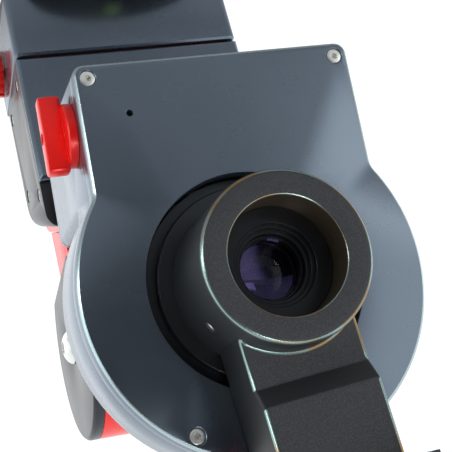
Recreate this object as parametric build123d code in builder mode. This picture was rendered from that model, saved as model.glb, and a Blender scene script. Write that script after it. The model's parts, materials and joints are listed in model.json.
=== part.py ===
"""Star tracker mount: a motor-driven polar-axis head carried in a fork on an azimuth base.

Frame: origin at the mouth of the tripod socket, +Z up, the polar axis points to -Y and tilts up.
Each separate piece of the real mount is one block below, exported as one STEP file. Millimetres.
"""
from build123d import *
from math import atan2, cos, degrees, radians, sin, sqrt
import os

os.makedirs("parts", exist_ok=True)

# ---- driving dimensions ----
REST_TILT = 12.0          # polar axis above the horizon at rest, degrees
ALT_Y, ALT_Z = -23.0, 181.0   # altitude axis, which runs along X
PIVOT_DEPTH = 93.4        # from the front face back to the altitude axis

FACE_R = 62.8             # round part of the keyhole-shaped front
HALF_W = 51.5             # half width of the straight part and of the tower
FACE_FOOT = 84.2          # from the polar axis down to the straight bottom edge
CORNER_R = 4.0
NECK_R = 7.0              # concave corner between the round and the straight part
COVER_T = 8.0
EDGE_CUT = 1.0            # chamfer round the front face
DRUM_BACK = 34.0          # depth of the drum behind the front face
BOX_BACK = 80.6           # depth of the motor box
BOX_TOP = -37.5           # top wall of the motor box
WALL = 4.0
COVER_BORE_R = 38.8

DISC_R = 34.6
DISC_DEPTH = 2.4          # output disc sits this far below the front face
HUB_R = 29.2
HUB_H = 37.4
HUB_BORE_R = 20.0
ARM_TURN = 6.0            # turn of the output arm at rest, degrees
ARM_HALF = 20.6
ARM_LOW, ARM_HIGH = 25.3, 30.4   # front levels of the arm before and after its ramp
ARM_END = 104.0

SHAFT_R = 17.5
SHAFT_BORE_R = 14.0
WORM_WHEEL_R = 32.0
WORM_R = 6.5
WORM_GAP = 0.05           # running gap left between a worm and its wheel
WORM_Y = -(WORM_WHEEL_R + WORM_R + WORM_GAP)
WORM_Z = -22.0
MOTOR_Y, MOTOR_Z = -66.0, -44.0
PULLEY_X = -34.0
PULLEY_R = 6.0

KNOB_Y, KNOB_Z = -64.5, -18.7    # clutch knob on the side of the head

ARM_IN, ARM_OUT = 33.5, 47.0     # fork arms, inner and outer faces
CAP_R = 38.0
TOWER_HALF = 44.0
TOWER_FRONT = ALT_Y - 1.4
TOWER_REAR = ALT_Y + 50.0
SADDLE_Z = ALT_Z - 71.0          # floor between the fork arms
SEAM_Z = ALT_Z - 137.0           # gap between the base and the turning tower
FOOT_R, FOOT_H = 50.0, 12.0
DECK_T = 6.0
SPINDLE_R = 8.0
SOCKET_R = 4.0                   # minor radius of the 3/8 inch tripod thread
AZ_SCREW_Y, AZ_SCREW_Z = 16.0, 25.0
RUN = 0.05                       # radial gap of every running fit

# Screw and fitting places on the head, measured from the polar axis
FRONT_SCREWS = [(x, -79.05) for x in (-46.5, 46.5)] + [
    (58.3 * cos(radians(a)), 58.3 * sin(radians(a))) for a in (58, 122)
]
LID_SCREWS = [(x, y) for x in (-47.0, 47.0) for y in (-79.7, -42.0)]
LED_SPOT = (33.8, -64.9)
BUTTON_Y, BUTTON_Z = -64.0, -64.0
PORT_Y = -49.0

# ---- work planes ----
TILT = radians(REST_TILT)
HEAD_PLANE = Plane(
    origin=(0, ALT_Y - PIVOT_DEPTH * cos(TILT), ALT_Z + PIVOT_DEPTH * sin(TILT)),
    x_dir=(1, 0, 0),
    z_dir=(0, -cos(TILT), sin(TILT)),
)
HEAD_SECTION = Plane(origin=HEAD_PLANE.origin, x_dir=HEAD_PLANE.x_dir, z_dir=-HEAD_PLANE.y_dir)
POLAR_AXIS = Axis(HEAD_PLANE.origin, HEAD_PLANE.z_dir)


def head_at(depth):
    """Plane across the polar axis, a signed distance in front of the front face."""
    return HEAD_PLANE.offset(depth)


def head_side(x, y, z):
    """Plane whose normal is +X, set at a point of the head; its x runs up the head."""
    return Plane(
        origin=HEAD_PLANE.from_local_coords(Vector(x, y, z)),
        x_dir=HEAD_PLANE.y_dir,
        z_dir=(1, 0, 0),
    )


def altitude_side(x):
    """Plane whose normal is +X, set on the altitude axis; its x runs back, its y up."""
    return Plane(origin=(x, ALT_Y, ALT_Z), x_dir=(0, 1, 0), z_dir=(1, 0, 0))


def save(piece, name):
    """Label one finished piece and write it."""
    piece.part.label = name
    export_step(piece.part, f"parts/{name}.step")


def keyhole(inset=0.0):
    """Outline of the head: a round drum with a straight-sided foot, set in by a distance."""
    with BuildSketch() as outline:
        Circle(FACE_R - inset)
        with Locations((0, -(FACE_FOOT - inset) / 2)):
            Rectangle(2 * (HALF_W - inset), FACE_FOOT - inset)
        ends = outline.vertices().group_by(Axis.Y)[0]
        fillet(ends, max(CORNER_R - inset, 1.0))
        necks = [v for v in outline.vertices() if v.Y < -20 and v.Y > -50]
        fillet(necks, NECK_R)
    return outline.sketch


def box_outline(inset=0.0):
    """Outline of the motor box behind the straight foot of the head."""
    with BuildSketch() as outline:
        with Locations((0, (BOX_TOP - FACE_FOOT) / 2)):
            Rectangle(2 * (HALF_W - inset), FACE_FOOT + BOX_TOP - 2 * inset)
        fillet(outline.vertices(), max(CORNER_R - inset, 1.0))
    return outline.sketch


# ======== base: what stands on the tripod ========

DECK_Z = SEAM_Z - 0.5
BASE_FRONT = TOWER_FRONT - 3.0
BASE_MID = (BASE_FRONT + TOWER_REAR) / 2
BASE_DEPTH = TOWER_REAR - BASE_FRONT
POST_TOP = AZ_SCREW_Z - 4.0
SCREW_SPOTS = [(x, y) for x in (-36, 36) for y in (-18.7, 18.7)]
LEVEL_Y = -39.0
UP = (Align.CENTER, Align.CENTER, Align.MIN)

with BuildPart() as base_foot:
    Cylinder(FOOT_R, FOOT_H, align=UP)
    chamfer(base_foot.edges().filter_by(GeomType.CIRCLE).group_by(Axis.Z)[-1], 1.5)
    with Locations((0, 0, FOOT_H)):
        Hole(11)
    with Locations(*[(x, y, 0) for x, y in SCREW_SPOTS]):
        Cylinder(2.0, FOOT_H, align=UP, mode=Mode.SUBTRACT)
        Cylinder(3.8, 5, align=UP, mode=Mode.SUBTRACT)
    with Locations((0, LEVEL_Y, FOOT_H)):
        Hole(7.5, depth=4)
save(base_foot, "base_foot")

with BuildPart() as tripod_bush:
    Cylinder(11, FOOT_H, align=UP)
    with Locations((0, 0, FOOT_H)):
        Hole(SOCKET_R)
save(tripod_bush, "tripod_bush")

with BuildPart() as bubble_level:
    with Locations((0, LEVEL_Y, FOOT_H - 4)):
        Cylinder(7.5, 5, align=UP)
    with Locations((0, LEVEL_Y, FOOT_H + 1)):
        Hole(5.5, depth=2.5)
save(bubble_level, "bubble_level")

with BuildPart() as base_housing:
    with BuildSketch(Plane.XY.offset(FOOT_H)):
        with Locations((0, BASE_MID)):
            RectangleRounded(2 * HALF_W, BASE_DEPTH, 3)
    extrude(amount=DECK_Z - FOOT_H)
    chamfer(base_housing.edges().group_by(Axis.Z)[-1], 1.0)
    with BuildSketch(Plane.XY.offset(FOOT_H)):
        with Locations((0, BASE_MID)):
            RectangleRounded(2 * (HALF_W - WALL), BASE_DEPTH - 2 * WALL, 1)
    extrude(amount=DECK_Z - DECK_T - FOOT_H, mode=Mode.SUBTRACT)
    with BuildSketch(Plane.XY.offset(FOOT_H)):
        with Locations(*SCREW_SPOTS):
            Circle(5)
    extrude(amount=POST_TOP - FOOT_H)
    with BuildSketch(Plane.XY.offset(FOOT_H)):
        with Locations(*SCREW_SPOTS):
            Circle(2.0)
    extrude(amount=POST_TOP - FOOT_H - 1.5, mode=Mode.SUBTRACT)
    with BuildSketch(Plane.XY.offset(DECK_Z)):
        Circle(SPINDLE_R)
        with Locations((0, AZ_SCREW_Y)):
            Rectangle(14, 13)
    extrude(amount=-DECK_T, mode=Mode.SUBTRACT)
    with BuildSketch(Plane.YZ.offset(-HALF_W - 1)):
        with Locations((AZ_SCREW_Y, AZ_SCREW_Z)):
            Circle(3 + RUN)
    extrude(amount=2 * HALF_W + 2, mode=Mode.SUBTRACT)
save(base_housing, "base_housing")

with BuildPart() as base_screws:
    with Locations(*[(x, y, 0.5) for x, y in SCREW_SPOTS]):
        Cylinder(3.5, 4.5, align=UP)
        Cylinder(2.0, POST_TOP - 2.5, align=UP)
    with BuildSketch(Plane.XY.offset(0.5)):
        with Locations(*SCREW_SPOTS):
            RegularPolygon(1.8, 6)
    extrude(amount=2.2, mode=Mode.SUBTRACT)
save(base_screws, "base_screws")

PLATE_Z = SEAM_Z + 0.5
PLATE_T = 9.0
FLANGE_Z = DECK_Z - DECK_T - 5.0
SLOT_Y = AZ_SCREW_Y - 6.6        # front side of the gap that lets the azimuth tang swing

with BuildPart() as azimuth_spindle:
    with Locations((0, 0, FLANGE_Z)):
        Cylinder(13, 5, align=UP)
        with Locations((0, SLOT_Y + 10, 0)):
            Box(30, 20, 5, align=UP, mode=Mode.SUBTRACT)
        Cylinder(SPINDLE_R, PLATE_Z + PLATE_T + 7 - FLANGE_Z, align=UP)
save(azimuth_spindle, "azimuth_spindle")

with BuildPart() as azimuth_nut:
    with BuildSketch(Plane.XY.offset(PLATE_Z + PLATE_T + 0.1)):
        RegularPolygon(14, 6)
        Circle(SPINDLE_R, mode=Mode.SUBTRACT)
    extrude(amount=5.5)
save(azimuth_nut, "azimuth_nut")

# ======== azimuth adjuster: one captured screw with a knob at each end ========

with BuildPart() as azimuth_screw:
    with BuildSketch(Plane.YZ.offset(-HALF_W - 9)):
        with Locations((AZ_SCREW_Y, AZ_SCREW_Z)):
            Circle(3)
    extrude(amount=2 * HALF_W + 18)
save(azimuth_screw, "azimuth_screw")

with BuildPart() as azimuth_knobs:
    for side in (-1, 1):
        with BuildSketch(Plane.YZ.offset(side * (HALF_W + 0.5))):
            with Locations((AZ_SCREW_Y, AZ_SCREW_Z)):
                Circle(11)
                Circle(3, mode=Mode.SUBTRACT)
                with PolarLocations(11, 12):
                    Circle(1.2, mode=Mode.SUBTRACT)
        extrude(amount=side * 8.5)
save(azimuth_knobs, "azimuth_knobs")

# ======== tower: turns in azimuth and carries the fork ========

REAR_COVER_T = 3.0
PANEL_T = 3.0
TANG = 4.0

with BuildPart() as azimuth_plate:
    with BuildSketch(Plane.XY.offset(PLATE_Z)):
        plate_front = TOWER_FRONT + WALL
        plate_rear = TOWER_REAR - REAR_COVER_T
        with Locations((0, (plate_front + plate_rear) / 2)):
            Rectangle(2 * (TOWER_HALF - WALL), plate_rear - plate_front)
        Circle(SPINDLE_R + RUN, mode=Mode.SUBTRACT)
    extrude(amount=PLATE_T)
    with BuildSketch(Plane.XY.offset(PLATE_Z)):
        with Locations((0, AZ_SCREW_Y)):
            Rectangle(TANG, 11)
    extrude(amount=AZ_SCREW_Z - 4 - PLATE_Z)
    with BuildSketch(Plane.XY.offset(AZ_SCREW_Z - 4)):
        with Locations((0, AZ_SCREW_Y)):
            Rectangle(TANG, 7.7)
    extrude(amount=8, mode=Mode.SUBTRACT)
save(azimuth_plate, "azimuth_plate")

# The fork's side view, with Y back and Z up from the altitude axis
NECK_FRONT, NECK_REAR = -8.0, 20.0
TOP_FRONT_Z, TOP_REAR_Z = -47.0, -76.0     # sloping shoulder of the tower
SHOULDER_R = 18.0
FLOOR_Z = SADDLE_Z - ALT_Z
LOW_Z = PLATE_Z - ALT_Z
FRONT_Y, REAR_Y = TOWER_FRONT - ALT_Y, TOWER_REAR - ALT_Y
OPENING_TOP = FLOOR_Z - 26.0
SLOPE = (TOP_REAR_Z - TOP_FRONT_Z) / (REAR_Y - NECK_FRONT)
BEARING_WALL = 4.5
GEAR_ROOM_R = 29.0
ALT_WHEEL_R = 20.0
ALT_WORM_R = 4.0
ALT_WORM_DROP = ALT_WHEEL_R + ALT_WORM_R + WORM_GAP
ALT_WORM_X = -42.5


def shoulder_z(y, drop=0.0):
    """Height of the tower's sloping shoulder at a distance behind the altitude axis."""
    return TOP_FRONT_Z + SLOPE * (y - NECK_FRONT) - drop


with BuildPart() as yoke:
    with BuildSketch(altitude_side(-TOWER_HALF)):
        with BuildLine():
            Polyline(
                (FRONT_Y, LOW_Z), (FRONT_Y, FLOOR_Z - 4), (NECK_FRONT, FLOOR_Z),
                (NECK_FRONT, TOP_FRONT_Z), (REAR_Y, TOP_REAR_Z), (REAR_Y, LOW_Z), close=True,
            )
        make_face()
        fillet(vertices().group_by(Axis.X)[-1].sort_by(Axis.Y)[-1], SHOULDER_R)
    extrude(amount=2 * TOWER_HALF)
    with BuildSketch(altitude_side(-ARM_OUT)):
        Circle(CAP_R)
        with BuildLine():
            Polyline(
                (NECK_FRONT, 0), (NECK_FRONT, TOP_FRONT_Z),
                (NECK_REAR, shoulder_z(NECK_REAR)), (NECK_REAR, 0), close=True,
            )
        make_face()
    extrude(amount=2 * ARM_OUT)
    with Locations((0, ALT_Y, SADDLE_Z)):
        Box(2 * ARM_IN, 200, 200, align=UP, mode=Mode.SUBTRACT)
    with BuildSketch(altitude_side(-(TOWER_HALF - WALL))):
        with BuildLine():
            Polyline(
                (FRONT_Y + WALL, LOW_Z), (FRONT_Y + WALL, FLOOR_Z - 5),
                (REAR_Y - 18, FLOOR_Z - 5), (REAR_Y - 5, FLOOR_Z - 16),
                (REAR_Y - 5, OPENING_TOP), (REAR_Y, OPENING_TOP), (REAR_Y, LOW_Z), close=True,
            )
        make_face()
    extrude(amount=2 * (TOWER_HALF - WALL), mode=Mode.SUBTRACT)
    for side in (-1, 1):
        with BuildSketch(altitude_side(side * (ARM_IN + BEARING_WALL))):
            Circle(GEAR_ROOM_R)
        extrude(amount=side * 20, mode=Mode.SUBTRACT)
        with BuildSketch(altitude_side(side * (ARM_IN - 1))):
            Circle(12.5)
        extrude(amount=side * 10, mode=Mode.SUBTRACT)
    with BuildSketch(altitude_side(-ARM_IN - BEARING_WALL)):
        with Locations((0, -ALT_WORM_DROP)):
            Rectangle(24, 10)
    extrude(amount=-20, mode=Mode.SUBTRACT)
    with BuildSketch(Plane.XZ.offset(-ALT_Y)):
        with Locations((ALT_WORM_X, ALT_Z - ALT_WORM_DROP)):
            Circle(2.5 + RUN)
    extrude(amount=-60, mode=Mode.SUBTRACT)
save(yoke, "yoke")

with BuildPart() as front_panel:
    with BuildSketch(Plane.XY.offset(PLATE_Z)):
        with Locations((0, TOWER_FRONT - PANEL_T / 2)):
            Rectangle(2 * HALF_W, PANEL_T)
    extrude(amount=SADDLE_Z - 4 - PLATE_Z)
    chamfer(front_panel.edges().group_by(Axis.Y)[0], 1.5)
save(front_panel, "front_panel")

with BuildPart() as rear_cover:
    with BuildSketch(Plane.XZ.offset(-TOWER_REAR)):
        with Locations((0, (PLATE_Z + ALT_Z + OPENING_TOP) / 2)):
            Rectangle(2 * (TOWER_HALF - WALL), ALT_Z + OPENING_TOP - PLATE_Z)
    extrude(amount=REAR_COVER_T)
save(rear_cover, "rear_cover")

REAR_BOX_H = 24.0
REAR_BOX_D = 16.0
with BuildPart() as rear_box:
    with BuildSketch(Plane.XY.offset(PLATE_Z + 1)):
        with Locations((0, TOWER_REAR + REAR_BOX_D / 2)):
            Rectangle(76, REAR_BOX_D)
    extrude(amount=REAR_BOX_H)
    fillet(rear_box.edges().group_by(Axis.Y)[-1], 2.5)
    with BuildSketch(Plane.XY.offset(PLATE_Z + 3)):
        with Locations((0, TOWER_REAR + (REAR_BOX_D - 2) / 2)):
            Rectangle(72, REAR_BOX_D - 2)
    extrude(amount=REAR_BOX_H - 4, mode=Mode.SUBTRACT)
    with BuildSketch(Plane.XZ.offset(-TOWER_REAR - REAR_BOX_D)):
        with Locations((-20, PLATE_Z + 1 + REAR_BOX_H / 2)):
            Circle(5.5)
    extrude(amount=4, mode=Mode.SUBTRACT)
save(rear_box, "rear_box")

with BuildPart() as power_socket:
    with BuildSketch(Plane.XZ.offset(-TOWER_REAR - REAR_BOX_D)):
        with Locations((-20, PLATE_Z + 1 + REAR_BOX_H / 2)):
            Circle(5.5)
            Circle(3.2, mode=Mode.SUBTRACT)
    extrude(amount=10)
    with BuildSketch(Plane.XZ.offset(-TOWER_REAR - REAR_BOX_D + 9)):
        with Locations((-20, PLATE_Z + 1 + REAR_BOX_H / 2)):
            Circle(5.5)
    extrude(amount=1.5)
    with BuildSketch(Plane.XZ.offset(-TOWER_REAR - REAR_BOX_D + 2)):
        with Locations((-20, PLATE_Z + 1 + REAR_BOX_H / 2)):
            Circle(1.0)
    extrude(amount=8)
save(power_socket, "power_socket")

COVER_INSET = 3.0
COVER_SCREWS = [(TOWER_FRONT + 8, PLATE_Z + 8), (TOWER_REAR - 14, PLATE_Z + 8),
                (TOWER_FRONT + 8, SADDLE_Z - 2), (TOWER_REAR - 16, SADDLE_Z - 16)]

with BuildPart() as side_covers:
    for side in (-1, 1):
        with BuildSketch(altitude_side(side * TOWER_HALF)):
            with BuildLine():
                Polyline(
                    (FRONT_Y, LOW_Z), (FRONT_Y, shoulder_z(FRONT_Y, COVER_INSET)),
                    (REAR_Y - COVER_INSET, shoulder_z(REAR_Y - COVER_INSET, COVER_INSET)),
                    (REAR_Y - COVER_INSET, LOW_Z), close=True,
                )
            make_face()
            fillet(vertices().group_by(Axis.X)[-1].sort_by(Axis.Y)[-1], SHOULDER_R - COVER_INSET)
        extrude(amount=side * (HALF_W - TOWER_HALF))
        outer = side_covers.faces().sort_by(Axis.X)[-1 if side > 0 else 0]
        rounded = [
            edge for edge in outer.edges()
            if edge.center().Z > PLATE_Z + 5 and edge.center().Y > TOWER_FRONT + 1
        ]
        fillet(rounded, 6.0)
        with BuildSketch(altitude_side(side * TOWER_HALF)):
            with Locations(*[(y - ALT_Y, z - ALT_Z) for y, z in COVER_SCREWS]):
                Circle(1.6)
        extrude(amount=side * 10, mode=Mode.SUBTRACT)
        with BuildSketch(altitude_side(side * (HALF_W - 3))):
            with Locations(*[(y - ALT_Y, z - ALT_Z) for y, z in COVER_SCREWS]):
                Circle(2.9)
        extrude(amount=side * 4, mode=Mode.SUBTRACT)
save(side_covers, "side_covers")

with BuildPart() as side_cover_screws:
    for side in (-1, 1):
        with Locations(*[(side * (HALF_W - 3), y, z) for y, z in COVER_SCREWS]):
            Cylinder(2.75, 2.6, rotation=(0, 90 * side, 0), align=UP)
        with Locations(*[(side * TOWER_HALF, y, z) for y, z in COVER_SCREWS]):
            Cylinder(1.6, HALF_W - 3 - TOWER_HALF, rotation=(0, 90 * side, 0), align=UP)
        with BuildSketch(Plane.YZ.offset(side * (HALF_W - 0.4))):
            with Locations(*COVER_SCREWS):
                RegularPolygon(1.5, 6)
        extrude(amount=-side * 1.6, mode=Mode.SUBTRACT)
save(side_cover_screws, "side_cover_screws")

CHORD_Z = -30.0

with BuildPart() as pivot_caps:
    for side in (-1, 1):
        with BuildSketch(altitude_side(side * ARM_OUT)):
            Circle(CAP_R)
            with Locations((0, CHORD_Z - 10)):
                Rectangle(2 * CAP_R, 20, mode=Mode.SUBTRACT)
            Circle(4.3, mode=Mode.SUBTRACT)
        extrude(amount=side * (HALF_W - ARM_OUT))
        outer = pivot_caps.faces().sort_by(Axis.X)[-1 if side > 0 else 0]
        chamfer(outer.outer_wire().edges(), 1.2)
save(pivot_caps, "pivot_caps")

TRUNNION_R = 10.0
BOSS_X = 33.2             # side bosses of the bearing housing end just inside the fork

with BuildPart() as pivot_bushes:
    for side in (-1, 1):
        with BuildSketch(altitude_side(side * ARM_IN)):
            Circle(12.5)
            Circle(TRUNNION_R + RUN, mode=Mode.SUBTRACT)
        extrude(amount=side * BEARING_WALL)
save(pivot_bushes, "pivot_bushes")

# ======== altitude drive: a worm in the left fork arm turns a wheel on the trunnion ========

KNOB_START = 36.5
with BuildPart() as altitude_worm:
    with BuildSketch(Plane.XZ.offset(-ALT_Y + 11)):
        with Locations((ALT_WORM_X, ALT_Z - ALT_WORM_DROP)):
            Circle(ALT_WORM_R)
    extrude(amount=-22)
    with BuildSketch(Plane.XZ.offset(-ALT_Y)):
        with Locations((ALT_WORM_X, ALT_Z - ALT_WORM_DROP)):
            Circle(2.5)
    extrude(amount=-KNOB_START - 10)
save(altitude_worm, "altitude_worm")

with BuildPart() as altitude_knob:
    with BuildSketch(Plane.XZ.offset(-ALT_Y - KNOB_START)):
        with Locations((ALT_WORM_X, ALT_Z - ALT_WORM_DROP)):
            Circle(8.5)
            Circle(2.5, mode=Mode.SUBTRACT)
            with PolarLocations(8.5, 10):
                Circle(1.1, mode=Mode.SUBTRACT)
    extrude(amount=-11)
save(altitude_knob, "altitude_knob")

# ======== head: the drive casing, which tilts in altitude ========

with BuildPart() as front_cover:
    with BuildSketch(head_at(-COVER_T)):
        add(keyhole())
    extrude(amount=COVER_T)
    face = front_cover.faces().filter_by(GeomType.PLANE).sort_by(Axis(HEAD_PLANE.origin, HEAD_PLANE.z_dir))[-1]
    chamfer(face.edges(), EDGE_CUT)
    with BuildSketch(head_at(-COVER_T)):
        Circle(COVER_BORE_R)
    extrude(amount=COVER_T, mode=Mode.SUBTRACT)
    with BuildSketch(head_at(-COVER_T)):
        with Locations(*FRONT_SCREWS):
            Circle(1.6)
        with Locations(LED_SPOT):
            Circle(1.25)
    extrude(amount=COVER_T, mode=Mode.SUBTRACT)
    with BuildSketch(head_at(-3.2)):
        with Locations(*FRONT_SCREWS):
            Circle(2.9)
    extrude(amount=4, mode=Mode.SUBTRACT)
save(front_cover, "front_cover")

LID_T = 3.0
with BuildPart() as casing_screws:
    for depth, out, spots in ((-3.2, 1, FRONT_SCREWS), (-BOX_BACK, -1, LID_SCREWS)):
        with BuildSketch(head_at(depth)):
            with Locations(*spots):
                Circle(2.75)
        extrude(amount=out * 3.0)
        with BuildSketch(head_at(depth)):
            with Locations(*spots):
                Circle(1.6)
        extrude(amount=-out * 11)
        with BuildSketch(head_at(depth + out * 3.0)):
            with Locations(*spots):
                RegularPolygon(1.45, 6)
        extrude(amount=-out * 1.8, mode=Mode.SUBTRACT)
save(casing_screws, "casing_screws")

HOUSING_BACK = BOX_BACK - LID_T
with BuildPart() as head_housing:
    with BuildSketch(head_at(-DRUM_BACK)):
        add(keyhole())
    extrude(amount=DRUM_BACK - COVER_T)
    with BuildSketch(head_at(-HOUSING_BACK)):
        add(box_outline())
    extrude(amount=HOUSING_BACK - DRUM_BACK)
    with BuildSketch(head_at(-DRUM_BACK + WALL)):
        add(keyhole(WALL))
    extrude(amount=DRUM_BACK, mode=Mode.SUBTRACT)
    with BuildSketch(head_at(-HOUSING_BACK)):
        add(box_outline(WALL))
    extrude(amount=HOUSING_BACK - COVER_T, mode=Mode.SUBTRACT)
    with BuildSketch(head_at(-COVER_T - 16)):
        with Locations(*FRONT_SCREWS):
            Circle(4.6)
        add(keyhole(), mode=Mode.INTERSECT)
    extrude(amount=16)
    with BuildSketch(head_at(-COVER_T - 16)):
        with Locations(*FRONT_SCREWS):
            Circle(1.6)
    extrude(amount=16, mode=Mode.SUBTRACT)
    with BuildSketch(head_at(-HOUSING_BACK)):
        with Locations(*LID_SCREWS):
            Circle(4.2)
        add(box_outline(), mode=Mode.INTERSECT)
    extrude(amount=8)
    with BuildSketch(head_at(-HOUSING_BACK)):
        with Locations(*LID_SCREWS):
            Circle(1.6)
    extrude(amount=8, mode=Mode.SUBTRACT)
    with BuildSketch(head_at(-DRUM_BACK)):
        Circle(26)
        with Locations((PULLEY_X, BOX_TOP - 2)):
            Rectangle(11, 7)
    extrude(amount=WALL, mode=Mode.SUBTRACT)
    with BuildSketch(head_side(HALF_W - WALL - 1, KNOB_Y, KNOB_Z)):
        Circle(4 + RUN)
    extrude(amount=WALL + 2, mode=Mode.SUBTRACT)
    with BuildSketch(head_side(-HALF_W - 1, BUTTON_Y, BUTTON_Z)):
        Circle(4 + 0.1)
        with Locations((PORT_Y - BUTTON_Y, 0)):
            Rectangle(11, 7)
    extrude(amount=WALL + 2, mode=Mode.SUBTRACT)
save(head_housing, "head_housing")

with BuildPart() as box_lid:
    with BuildSketch(head_at(-BOX_BACK)):
        add(box_outline())
    extrude(amount=LID_T)
    back = box_lid.faces().filter_by(GeomType.PLANE).sort_by(POLAR_AXIS)[0]
    chamfer(back.edges(), 0.8)
    with BuildSketch(head_at(-BOX_BACK)):
        with Locations(*LID_SCREWS):
            Circle(1.6)
    extrude(amount=LID_T, mode=Mode.SUBTRACT)
save(box_lid, "box_lid")


def turned(name, *outline):
    """Ring or rod on the polar axis, from an outline of (radius, depth) points."""
    with BuildPart() as ring:
        with BuildSketch(HEAD_SECTION):
            with BuildLine():
                Polyline(*outline, close=True)
            make_face()
        revolve(axis=POLAR_AXIS)
    save(ring, name)


HOUSING_R = 32.5
HOUSING_END = PIVOT_DEPTH + 25.0
BEARING_R = 26.0
FRONT_SEAT = 50.0         # end of the front bearing seat
REAR_SEAT = HOUSING_END - 14.4

with BuildPart() as bearing_housing:
    with BuildSketch(head_at(-HOUSING_END)):
        Circle(HOUSING_R)
    extrude(amount=HOUSING_END - DRUM_BACK)
    chamfer(bearing_housing.edges().filter_by(GeomType.CIRCLE).sort_by(POLAR_AXIS)[0], 1.2)
    with BuildSketch(altitude_side(-BOSS_X)):
        Circle(14)
    extrude(amount=2 * BOSS_X)
    with BuildSketch(head_at(-HOUSING_END)):
        Circle(22)
    extrude(amount=HOUSING_END, mode=Mode.SUBTRACT)
    with BuildSketch(head_at(-FRONT_SEAT)):
        Circle(BEARING_R)
    extrude(amount=FRONT_SEAT, mode=Mode.SUBTRACT)
    with BuildSketch(head_at(-HOUSING_END)):
        Circle(BEARING_R)
    extrude(amount=HOUSING_END - REAR_SEAT, mode=Mode.SUBTRACT)
    with BuildSketch(altitude_side(-BOSS_X)):
        Circle(4)
    extrude(amount=2 * BOSS_X, mode=Mode.SUBTRACT)
save(bearing_housing, "bearing_housing")

with BuildPart() as polar_bearings:
    for back in (-FRONT_SEAT, -REAR_SEAT - 10):
        with BuildSketch(head_at(back)):
            Circle(BEARING_R)
            Circle(SHAFT_R + RUN, mode=Mode.SUBTRACT)
        extrude(amount=10)
save(polar_bearings, "polar_bearings")

turned("bearing_retainer", (19.8, -HOUSING_END), (BEARING_R, -HOUSING_END),
       (BEARING_R, -REAR_SEAT - 10), (19.8, -REAR_SEAT - 10))

with BuildPart() as pivot_trunnions:
    for side in (-1, 1):
        with BuildSketch(altitude_side(side * BOSS_X)):
            Circle(TRUNNION_R)
            Circle(4, mode=Mode.SUBTRACT)
        extrude(amount=side * (ARM_OUT - 0.1 - BOSS_X))
save(pivot_trunnions, "pivot_trunnions")

BOLT_HEAD_H = 3.7
with BuildPart() as pivot_bolts:
    for side in (-1, 1):
        with BuildSketch(altitude_side(side * 26)):
            Circle(4)
        extrude(amount=side * (HALF_W + RUN - 26))
        with BuildSketch(altitude_side(side * (HALF_W + RUN))):
            Circle(6.9)
        extrude(amount=side * BOLT_HEAD_H)
        outer = pivot_bolts.faces().sort_by(Axis.X)[-1 if side > 0 else 0]
        fillet(outer.edges(), 2.6)
        with BuildSketch(altitude_side(side * (HALF_W + RUN + BOLT_HEAD_H))):
            RegularPolygon(2.9, 6)
        extrude(amount=-side * 2.4, mode=Mode.SUBTRACT)
save(pivot_bolts, "pivot_bolts")

with BuildPart() as altitude_wheel:
    with BuildSketch(altitude_side(ALT_WORM_X - 3)):
        Circle(ALT_WHEEL_R)
        Circle(TRUNNION_R, mode=Mode.SUBTRACT)
    extrude(amount=6)
save(altitude_wheel, "altitude_wheel")

# ======== polar axis: everything that turns with the sky ========

DISC_FRONT = -DISC_DEPTH
DISC_BACK = DISC_FRONT - 8.0
SKIRT_R = COVER_BORE_R - 0.6     # thin skirt that closes the groove round the disc against dust
SKIRT_Z = -6.6
WHEEL_FRONT = DISC_BACK - 6.0
WHEEL_BACK = WHEEL_FRONT - 11.6
SHAFT_END = -HOUSING_END + 1.4

turned("ra_shaft", (SHAFT_BORE_R, SHAFT_END), (SHAFT_R, SHAFT_END), (SHAFT_R, WHEEL_FRONT),
       (30, WHEEL_FRONT), (30, DISC_BACK), (SHAFT_BORE_R, DISC_BACK))
turned("ra_worm_wheel", (SHAFT_R, WHEEL_BACK), (WORM_WHEEL_R, WHEEL_BACK),
       (WORM_WHEEL_R, WHEEL_FRONT), (SHAFT_R, WHEEL_FRONT))
turned("shaft_locknut", (SHAFT_R, SHAFT_END + 0.2), (19.5, SHAFT_END + 0.2),
       (19.5, -REAR_SEAT - 10.2), (SHAFT_R, -REAR_SEAT - 10.2))
turned("output_disc", (SHAFT_BORE_R, DISC_BACK), (SKIRT_R, DISC_BACK), (SKIRT_R, SKIRT_Z),
       (DISC_R, SKIRT_Z), (DISC_R, DISC_FRONT - 0.6), (DISC_R - 0.6, DISC_FRONT),
       (SHAFT_BORE_R, DISC_FRONT))

ARM_PLANE = Plane(
    origin=HEAD_PLANE.origin,
    x_dir=HEAD_PLANE.x_dir * cos(radians(ARM_TURN)) + HEAD_PLANE.y_dir * sin(radians(ARM_TURN)),
    z_dir=HEAD_PLANE.z_dir,
)
ARM_SECTION = Plane(origin=ARM_PLANE.origin, x_dir=ARM_PLANE.y_dir, z_dir=ARM_PLANE.x_dir)
ARM_BACK = 1.0
RAMP_START, RAMP_END = 38.0, 44.8
SET_SCREW_Z = 16.0
SET_SCREW_ANGLE = 34.0


def hub_radial(angle, radius):
    """Plane standing on the hub's wall, whose normal points away from the polar axis."""
    turn = radians(angle)
    outward = HEAD_PLANE.x_dir * cos(turn) + HEAD_PLANE.y_dir * sin(turn)
    foot = HEAD_PLANE.origin + HEAD_PLANE.z_dir * SET_SCREW_Z + outward * radius
    return Plane(origin=foot, x_dir=HEAD_PLANE.z_dir, z_dir=outward)


SET_SCREW_ANGLES = [SET_SCREW_ANGLE + turn for turn in (0, 120, 240)]

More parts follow.
